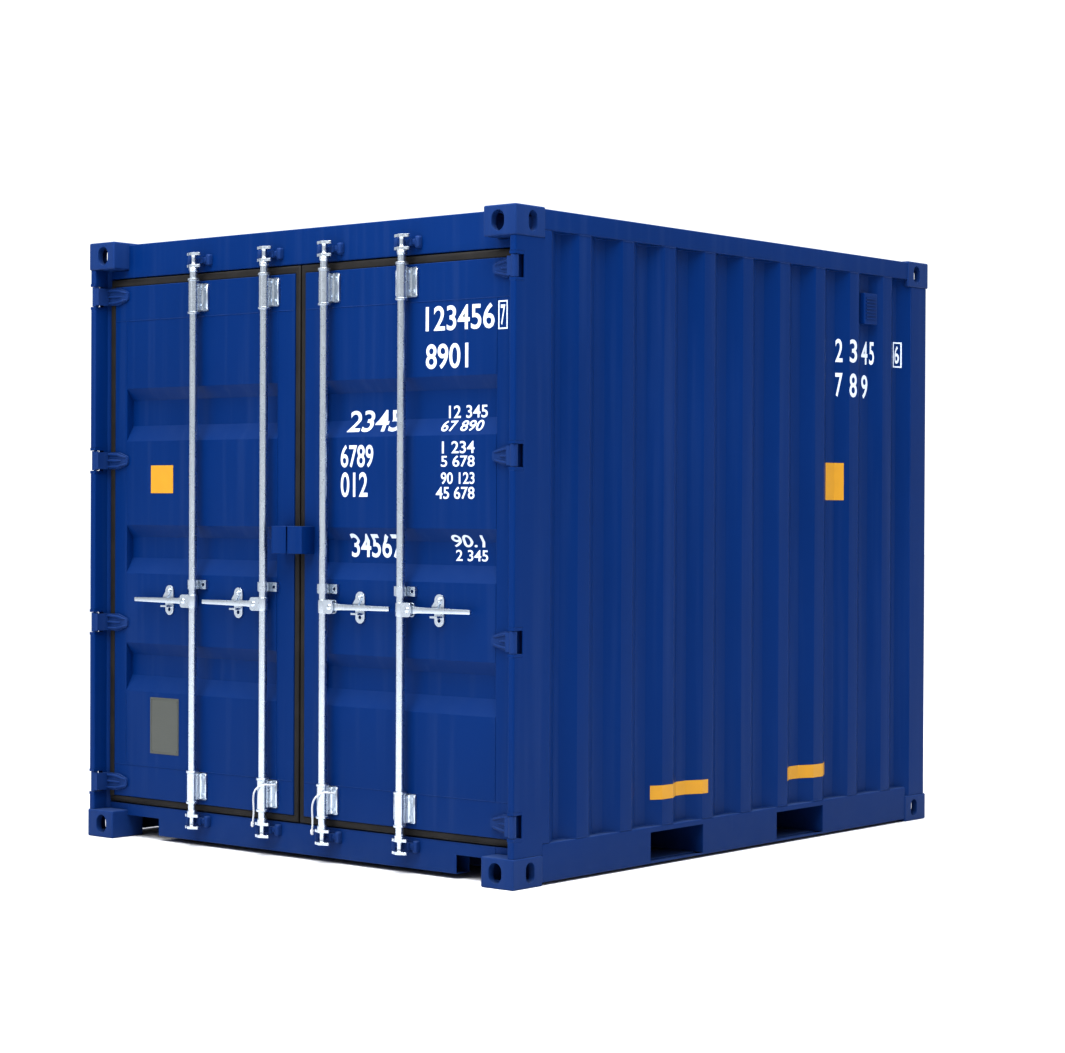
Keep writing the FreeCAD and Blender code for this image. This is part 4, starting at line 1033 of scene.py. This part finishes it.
def paint(name, shapes, facing, tree, lift, material, body, step=4.0):
    """Lays flat shapes on a surface along a facing direction, cut fine enough to follow its folds."""
    whole = bmesh.new()
    for points, faces in shapes:
        made = [whole.verts.new((u, v, 0.0)) for u, v in points]
        for face in faces:
            whole.faces.new([made[i] for i in face])
    bmesh.ops.remove_doubles(whole, verts=whole.verts, dist=0.01)
    axis = 0 if abs(facing.y) > 0.5 else 1
    values = [v.co[axis] for v in whole.verts]
    level = math.floor(min(values)) + 0.5
    normal = Vector((1.0, 0.0, 0.0)) if axis == 0 else Vector((0.0, 1.0, 0.0))
    while level < max(values):
        bmesh.ops.bisect_plane(
            whole, geom=whole.verts[:] + whole.edges[:] + whole.faces[:], dist=0.001,
            plane_co=normal * level, plane_no=normal,
        )
        level += step
    for vert in whole.verts:
        u, v = vert.co.x, vert.co.y
        spot = Vector((facing.x * -FAR, u, v)) if axis == 1 else Vector((u, facing.y * -FAR, v))
        hit = tree.ray_cast(spot * MM, facing)[0]
        if hit is None:
            raise RuntimeError(name + " misses the surface")
        vert.co = hit - facing * lift
    bmesh.ops.recalc_face_normals(whole, faces=whole.faces)
    if sum(face.calc_area() * face.normal.dot(facing) for face in whole.faces) > 0.0:
        bmesh.ops.reverse_faces(whole, faces=whole.faces)
    mesh = bpy.data.meshes.new(name)
    whole.to_mesh(mesh)
    whole.free()
    piece = linked(name, mesh)
    film = piece.modifiers.new("film", "SOLIDIFY")
    film.thickness = lift * 0.6
    film.offset = -1.0
    return dress(piece, material, body)


def surface(nodes):
    """Ray casting tree of some CAD nodes."""
    points = []
    faces = []
    for node in nodes:
        mesh = NODES[node].data
        start = len(points)
        points += [v.co.copy() for v in mesh.vertices]
        faces += [tuple(start + i for i in p.vertices) for p in mesh.polygons]
    return BVHTree.FromPolygons(points, faces)


def trace(tree, start, end, facing, step=9.0):
    """Points where a level line meets a surface, seen along a facing direction."""
    count = int(abs(end[0] - start[0]) / step)
    across = Vector((0.0, 1.0, 0.0)) if abs(facing.x) > 0.5 else Vector((1.0, 0.0, 0.0))
    points = []
    for i in range(count + 1):
        u = start[0] + (end[0] - start[0]) * i / count
        # A ray through an edge between two faces can miss both, so a point just beside it is tried too.
        for nudge in (0.0, 0.3, -0.3):
            spot = across * (u + nudge) + Vector((0.0, 0.0, start[1])) - facing * FAR
            hit = tree.ray_cast(spot * MM, facing)[0]
            if hit is not None:
                points.append(hit / MM)
                break
        else:
            raise RuntimeError(f"a weld misses its wall at {u:.0f}, {start[1]:.0f} mm")
    return points


# Plain figures: text, its sides across the sheet and its foot and head, in millimetres.
RIGHT_DOOR_FIGURES = (
    ("123456", -694.0, -1048.0, 2132.0, 2230.0), ("7", -1079.0, -1102.0, 2142.0, 2220.0),
    ("8901", -695.0, -915.0, 1984.0, 2082.0), ("2345", -257.0, -542.0, 1745.0, 1832.0),
    ("6789", -235.0, -414.0, 1603.0, 1694.0), ("012", -236.0, -384.0, 1484.0, 1584.0),
    ("34567", -265.0, -545.0, 1242.0, 1338.0), ("12 345", -785.0, -985.0, 1792.0, 1842.0),
    ("67 890", -765.0, -980.0, 1740.0, 1783.0), ("1 234", -781.0, -950.0, 1654.0, 1702.0),
    ("5 678", -776.0, -950.0, 1602.0, 1646.0), ("90 123", -776.0, -950.0, 1535.0, 1581.0),
    ("45 678", -750.0, -950.0, 1477.0, 1525.0), ("90.1", -809.0, -975.0, 1290.0, 1338.0),
    ("2 345", -825.0, -990.0, 1236.0, 1280.0),
)
SIDE_FIGURES = (
    ("2", 767.0, 800.0, 2100.0, 2204.0), ("3", 832.0, 892.0, 2100.0, 2204.0), ("4", 984.0, 1036.0, 2100.0, 2204.0),
    ("5", 1046.0, 1068.0, 2100.0, 2204.0), ("6", 1268.0, 1296.0, 2116.0, 2198.0),
    ("7", 767.0, 800.0, 1945.0, 2052.0), ("8", 832.0, 892.0, 1945.0, 2052.0), ("9", 984.0, 1036.0, 1945.0, 2052.0),
)


class CONTAINER_OT_markings(Operator):
    """Paints plain counting figures and plain patches on the doors and the long side"""
    bl_idname = "container.markings"
    bl_label = "Markings"

    def execute(self, context):
        lift = context.scene.container_sizes.marking_lift
        inward = Vector((1.0, 0.0, 0.0))
        door = surface(("right_door_frame", "right_door_panel"))
        shapes = [flat_text(*figures) for figures in RIGHT_DOOR_FIGURES]
        shapes.append(flat_box(-1114.0, -1067.0, 2126.0, 2236.0, 6.0))
        paint("right_door_figures", shapes, inward, door, lift, "white marking paint", "right_door")
        other = surface(("left_door_frame", "left_door_panel"))
        patch = [flat_patch(762.0, 903.0, 1500.0, 1620.0)]
        paint("left_door_patch", patch, inward, other, lift, "yellow marking paint", "left_door")
        wall = surface(("side_wall_right", "side_bottom_rail_right"))
        toward = Vector((0.0, 1.0, 0.0))
        shapes = [flat_text(*figures) for figures in SIDE_FIGURES]
        shapes.append(flat_box(1255.0, 1309.0, 2098.0, 2215.0, 7.0))
        paint("right_side_figures", shapes, toward, wall, lift, "white marking paint", "container")
        patches = [
            flat_patch(692.0, 808.0, 1484.0, 1650.0), flat_patch(-601.0, -235.0, 265.0, 322.0),
            flat_patch(357.0, 697.0, 265.0, 322.0),
        ]
        paint("right_side_patches", patches, toward, wall, lift, "yellow marking paint", "container")
        return {"FINISHED"}


# ---------------------------------------------------------------- repeats grown in geometry nodes

def add_run(points, edges, run):
    """Adds a line of points and the edges between them."""
    edges += [(len(points) + i, len(points) + i + 1) for i in range(len(run) - 1)]
    points += run


class CONTAINER_OT_welds(Operator):
    """Lays weld beads where the steel parts meet"""
    bl_idname = "container.welds"
    bl_label = "Weld beads"

    def execute(self, context):
        sizes = context.scene.container_sizes
        tree = weld_tree()
        values = {
            "Bead Radius": sizes.weld_radius, "Ripple Length": sizes.weld_ripple, "Unevenness": 0.28, "Seed": 7,
        }
        for name, side in SIDES.items():
            x = LEAF_FRONT + 0.6
            foot, head = LEAF_LOW.z + 140.0, LEAF_HIGH.z - 150.0
            points = []
            edges = []
            for z in (foot, head):
                add_run(points, edges, [(x, side * (LEAF_LOW.y + 6.0), z), (x, side * (LEAF_HIGH.y - 6.0), z)])
            # Upright beads stop short of the recesses.
            for y in (side * (LEAF_LOW.y + 100.0), side * (LEAF_HIGH.y - 100.0)):
                add_run(points, edges, [(x, y, foot), (x, y, 630.0)])
                add_run(points, edges, [(x, y, 1965.0), (x, y, head)])
            grow(
                name + "_door_welds", points, edges, tree, values, "marine enamel", name + "_door",
            )
        points = []
        edges = []
        for name, side in SIDES.items():
            wall = surface(("side_wall_" + name,))
            start = place("side_wall_" + name)[0].x + 3.0
            end = place("side_top_rail_" + name)[1].x - 3.0
            facing = Vector((0.0, -side, 0.0))
            for z in (place("side_bottom_rail_" + name)[1].z + 1.5, place("side_top_rail_" + name)[0].z - 1.5):
                add_run(points, edges, trace(wall, (start, z), (end, z), facing))
        wall = surface(("end_wall",))
        low, high = place("end_top_rail")
        for z in (place("end_bottom_rail")[1].z + 1.5, place("end_top_rail")[0].z - 1.5):
            add_run(points, edges, trace(wall, (low.y + 3.0, z), (high.y - 3.0, z), Vector((-1.0, 0.0, 0.0))))
        grow("wall_welds", points, edges, tree, values, "marine enamel", "container")
        return {"FINISHED"}


class CONTAINER_OT_fasteners(Operator):
    """Sets bolts on the rod guides and screws in the floor"""
    bl_idname = "container.fasteners"
    bl_label = "Bolts and screws"

    def execute(self, context):
        sizes = context.scene.container_sizes
        tree = head_tree()
        values = {
            "Head Radius": sizes.bolt_radius, "Head Height": sizes.bolt_height, "Sides": 6,
            "Facing": (0.0, math.radians(-90.0), 0.0), "Seed": 3,
        }
        for name in SIDES:
            points = []
            for rod in ROD_NAMES:
                if rod.startswith(name):
                    for sleeve, (low, high) in SLEEVES:
                        for y in (RODS[rod].y - 39.0, RODS[rod].y + 39.0):
                            for z in (low + 22.0, high - 22.0):
                                points.append((LEAF_FRONT - 10.5, y, z))
            grow(
                name + "_guide_bolts", points, [], tree, values, "galvanised steel", name + "_door",
            )
        low, high = place("floor_boards")
        inset, across, along = 60.0, 12, 9
        rows = []
        for i in range(along):
            x = low.x + inset + i * (high.x - low.x - 2.0 * inset) / (along - 1)
            for j in range(across):
                rows.append((x, low.y + inset + j * (high.y - low.y - 2.0 * inset) / (across - 1), high.z - 0.4))
        values = {
            "Head Radius": sizes.screw_radius, "Head Height": 0.0012, "Sides": 12, "Facing": (0.0, 0.0, 0.0),
            "Seed": 5,
        }
        grow("floor_screws", rows, [], tree, values, "galvanised steel", "container")
        return {"FINISHED"}


# ---------------------------------------------------------------- tie-back ropes

# Places along each rope: in front of or behind the rod's axis, to its left, and height.
ROPE_ROUTES = {
    "left": (
        (28.0, -46.0, 296.0), (2.0, -46.0, 296.0), (-21.0, -35.0, 302.0), (-34.0, -11.0, 292.0),
        (-32.0, 15.0, 272.0), (-18.0, 36.0, 244.0), (-8.0, 44.0, 206.0), (-3.0, 47.0, 170.0), (0.0, 56.0, 138.0),
    ),
    "right": (
        (28.0, -46.0, 290.0), (2.0, -46.0, 290.0), (-21.0, -36.0, 297.0), (-34.0, -12.0, 286.0),
        (-33.0, 14.0, 266.0), (-20.0, 38.0, 240.0), (-9.0, 49.0, 203.0), (-4.0, 50.0, 168.0), (-2.0, 55.0, 136.0),
    ),
}


def spline_points(name, route):
    """Fine points along the smooth spline whose control points are the route's."""
    curve = bpy.data.curves.new(name, "CURVE")
    curve.dimensions = "3D"
    spline = curve.splines.new("NURBS")
    spline.points.add(len(route) - 1)
    for point, place_mm in zip(spline.points, route):
        point.co = (*(Vector(place_mm) * MM), 1.0)
    spline.order_u = 3
    spline.use_endpoint_u = True
    spline.resolution_u = 12
    holder = linked(name, curve)
    mesh = evaluated_mesh(holder)
    points = [v.co / MM for v in mesh.vertices]
    bpy.data.objects.remove(holder)
    bpy.data.curves.remove(curve)
    bpy.data.meshes.remove(mesh)
    return points


def even_points(points, step):
    """Points along a line at even steps."""
    result = [points[0].copy()]
    left = step
    for a, b in zip(points, points[1:]):
        length = (b - a).length
        at = 0.0
        while length - at > left:
            at += left
            result.append(a.lerp(b, at / length))
            left = step
        left -= length - at
    if (points[-1] - result[-1]).length > 0.3 * step:
        result.append(points[-1].copy())
    return result


def strands(points, offset, radius, turn, count=3, sides=8):
    """Strands twisted about a line; turn is the length of one twist."""
    side = None
    along = 0.0
    lines = [[] for _ in range(count)]
    for i, here in enumerate(points):
        ahead = (points[min(i + 1, len(points) - 1)] - points[max(i - 1, 0)]).normalized()
        if side is None:
            side = frame_along(ahead)[0]
        side = (side - ahead * side.dot(ahead)).normalized()
        other = ahead.cross(side)
        if i:
            along += (here - points[i - 1]).length
        for k in range(count):
            angle = 2.0 * math.pi * (along / turn + k / count)
            lines[k].append(here + (side * math.cos(angle) + other * math.sin(angle)) * offset)
    return [swept(line, radius, sides) for line in lines]


class CONTAINER_OT_ropes(Operator):
    """Makes the two tie-back ropes and their knots"""
    bl_idname = "container.ropes"
    bl_label = "Tie-back ropes"

    def execute(self, context):
        for name in SIDES:
            axis = RODS[name + "_inner"].y
            route = [(ROD_X + x, axis + y, z) for x, y, z in ROPE_ROUTES[name]]
            line = even_points(spline_points(name + "_rope_line", route), 1.6)
            rope = make(
                name + "_rope", strands(line, 1.8, 2.35, 26.0), "polyester rope", name + "_door",
                (name + "_tieback_rope",), sharp=80.0,
            )
            end = Vector(route[-1])
            run = (end - Vector(route[-2])).normalized()
            knot_line = [end + run * t for t in (1.5, 6.0, 12.0, 18.0, 22.5)]
            parts = [swept(knot_line, [3.4, 5.4, 5.8, 5.2, 3.2], 12)]
            side, other = frame_along(run)
            for k in range(3):
                wrap = []
                for j in range(25):
                    angle = 2.0 * math.pi * j / 24.0 * 1.15
                    centre = end + run * (5.2 + 6.0 * k + 2.4 * math.sin(angle + k))
                    wrap.append(centre + (side * math.cos(angle) + other * math.sin(angle)) * 4.6)
                parts.append(swept(wrap, 2.9, 8))
            knot = make(
                name + "_knot", parts, "polyester rope", name + "_door", (name + "_rope_knot",), sharp=80.0,
            )
        return {"FINISHED"}


# ---------------------------------------------------------------- studio

CAMERA_PLACE = (-8.744, -7.325, 1.447)
CAMERA_HEADING = math.radians(39.7)
CAMERA_PITCH = math.radians(-0.44)
CAMERA_ROLL = math.radians(0.25)
LENS = 85.2
FLOOR_REACH = 60.0


class CONTAINER_OT_studio(Operator):
    """Sets a plain floor, soft light and the camera"""
    bl_idname = "container.studio"
    bl_label = "Studio"

    def execute(self, context):
        scene = context.scene
        tree, shader = new_material("pale studio floor")
        shader.inputs["Base Color"].default_value = rgba(scene.container_colours.floor)
        shader.inputs["Roughness"].default_value = 0.9
        shader.inputs["Specular IOR Level"].default_value = 0.08
        mesh = bpy.data.meshes.new("studio_floor")
        corners = [(u * FLOOR_REACH, v * FLOOR_REACH, 0.0) for u, v in ((-1, -1), (1, -1), (1, 1), (-1, 1))]
        mesh.from_pydata(corners, [], [(0, 1, 2, 3)])
        mesh.materials.append(bpy.data.materials["pale studio floor"])
        floor = linked("studio_floor", mesh)

        world = bpy.data.worlds.new("studio_sky")
        world.use_nodes = True
        tree = world.node_tree
        tree.nodes.clear()
        # A white wall beyond the container; the room on the camera's side is dimmer.
        around = add_node(tree, "ShaderNodeTexCoord").outputs["Generated"]
        beyond = add_node(tree, "ShaderNodeVectorMath", {
            0: around, 1: (math.cos(CAMERA_HEADING), math.sin(CAMERA_HEADING), 0.0),
        }, operation="DOT_PRODUCT")
        glow = add_node(tree, "ShaderNodeMapRange", {
            "Value": beyond.outputs["Value"], "From Min": 0.0, "From Max": 0.8, "To Min": 0.46, "To Max": 1.0,
        })
        height = add_node(tree, "ShaderNodeSeparateXYZ", {"Vector": around})
        above = add_node(tree, "ShaderNodeMapRange", {
            "Value": height.outputs["Z"], "From Min": 0.3, "From Max": 0.9, "To Min": 0.0, "To Max": 0.9,
        })
        both = add_node(tree, "ShaderNodeMath", {0: glow.outputs[0], 1: above.outputs[0]}, operation="ADD")
        sky = add_node(tree, "ShaderNodeBackground", {
            "Color": (0.96, 0.98, 1.0, 1.0), "Strength": both.outputs[0],
        })
        add_node(tree, "ShaderNodeOutputWorld", {"Surface": sky.outputs[0]})
        scene.world = world

        for name, spot, target, size, power in (
            ("overhead_softbox", (-3.5, -2.5, 9.0), (-0.5, -0.5, 1.0), 7.0, 1350.0),
            ("door_softbox", (-9.0, 2.0, 6.5), (-1.4, 0.0, 1.3), 4.0, 250.0),
        ):
            lamp = bpy.data.lights.new(name, "AREA")
            lamp.shape = "SQUARE"
            lamp.size = size
            lamp.energy = power
            holder = linked(name, lamp)
            holder.location = spot
            aim = Vector(target) - Vector(spot)
            holder.rotation_euler = aim.to_track_quat("-Z", "Y").to_euler()

        forward = Vector((
            math.cos(CAMERA_HEADING) * math.cos(CAMERA_PITCH), math.sin(CAMERA_HEADING) * math.cos(CAMERA_PITCH),
            math.sin(CAMERA_PITCH),
        ))
        level = forward.cross(Vector((0.0, 0.0, 1.0))).normalized()
        rise = level.cross(forward)
        right = level * math.cos(CAMERA_ROLL) + rise * math.sin(CAMERA_ROLL)
        up = rise * math.cos(CAMERA_ROLL) - level * math.sin(CAMERA_ROLL)
        lens = bpy.data.cameras.new("studio_camera")
        lens.sensor_width = 36.0
        lens.lens = LENS
        camera = linked("studio_camera", lens)
        turn = Matrix((right, up, -forward)).transposed()
        camera.matrix_world = Matrix.Translation(Vector(CAMERA_PLACE)) @ turn.to_4x4()
        scene.camera = camera
        scene.view_settings.view_transform = "Standard"
        scene.view_settings.look = "Medium High Contrast"
        return {"FINISHED"}


# ---------------------------------------------------------------- add-on

class CONTAINER_PT_panel(Panel):
    """Buttons that build the container's pieces in order"""
    bl_idname = "CONTAINER_PT_panel"
    bl_label = "Container"
    bl_space_type = "VIEW_3D"
    bl_region_type = "UI"
    bl_category = "Container"

    def draw(self, context):
        layout = self.layout
        for group in (context.scene.container_sizes, context.scene.container_colours):
            column = layout.column()
            for name in group.__annotations__:
                column.prop(group, name)
        for step in STEPS:
            layout.operator(step.bl_idname)


STEPS = (
    CONTAINER_OT_materials, CONTAINER_OT_ropes, CONTAINER_OT_shell, CONTAINER_OT_seals, CONTAINER_OT_guides,
    CONTAINER_OT_rods, CONTAINER_OT_handles, CONTAINER_OT_catches, CONTAINER_OT_vents, CONTAINER_OT_plate,
    CONTAINER_OT_markings, CONTAINER_OT_welds, CONTAINER_OT_fasteners, CONTAINER_OT_studio,
)
CLASSES = (ContainerSizes, ContainerColours, *STEPS, CONTAINER_PT_panel)


def register():
    for item in CLASSES:
        bpy.utils.register_class(item)
    bpy.types.Scene.container_sizes = PointerProperty(type=ContainerSizes)
    bpy.types.Scene.container_colours = PointerProperty(type=ContainerColours)


def unregister():
    del bpy.types.Scene.container_colours
    del bpy.types.Scene.container_sizes
    for item in reversed(CLASSES):
        bpy.utils.unregister_class(item)


def main():
    register()
    for step in STEPS:
        area, name = step.bl_idname.split(".")
        getattr(getattr(bpy.ops, area), name)()


if __name__ == "__main__":
    main()
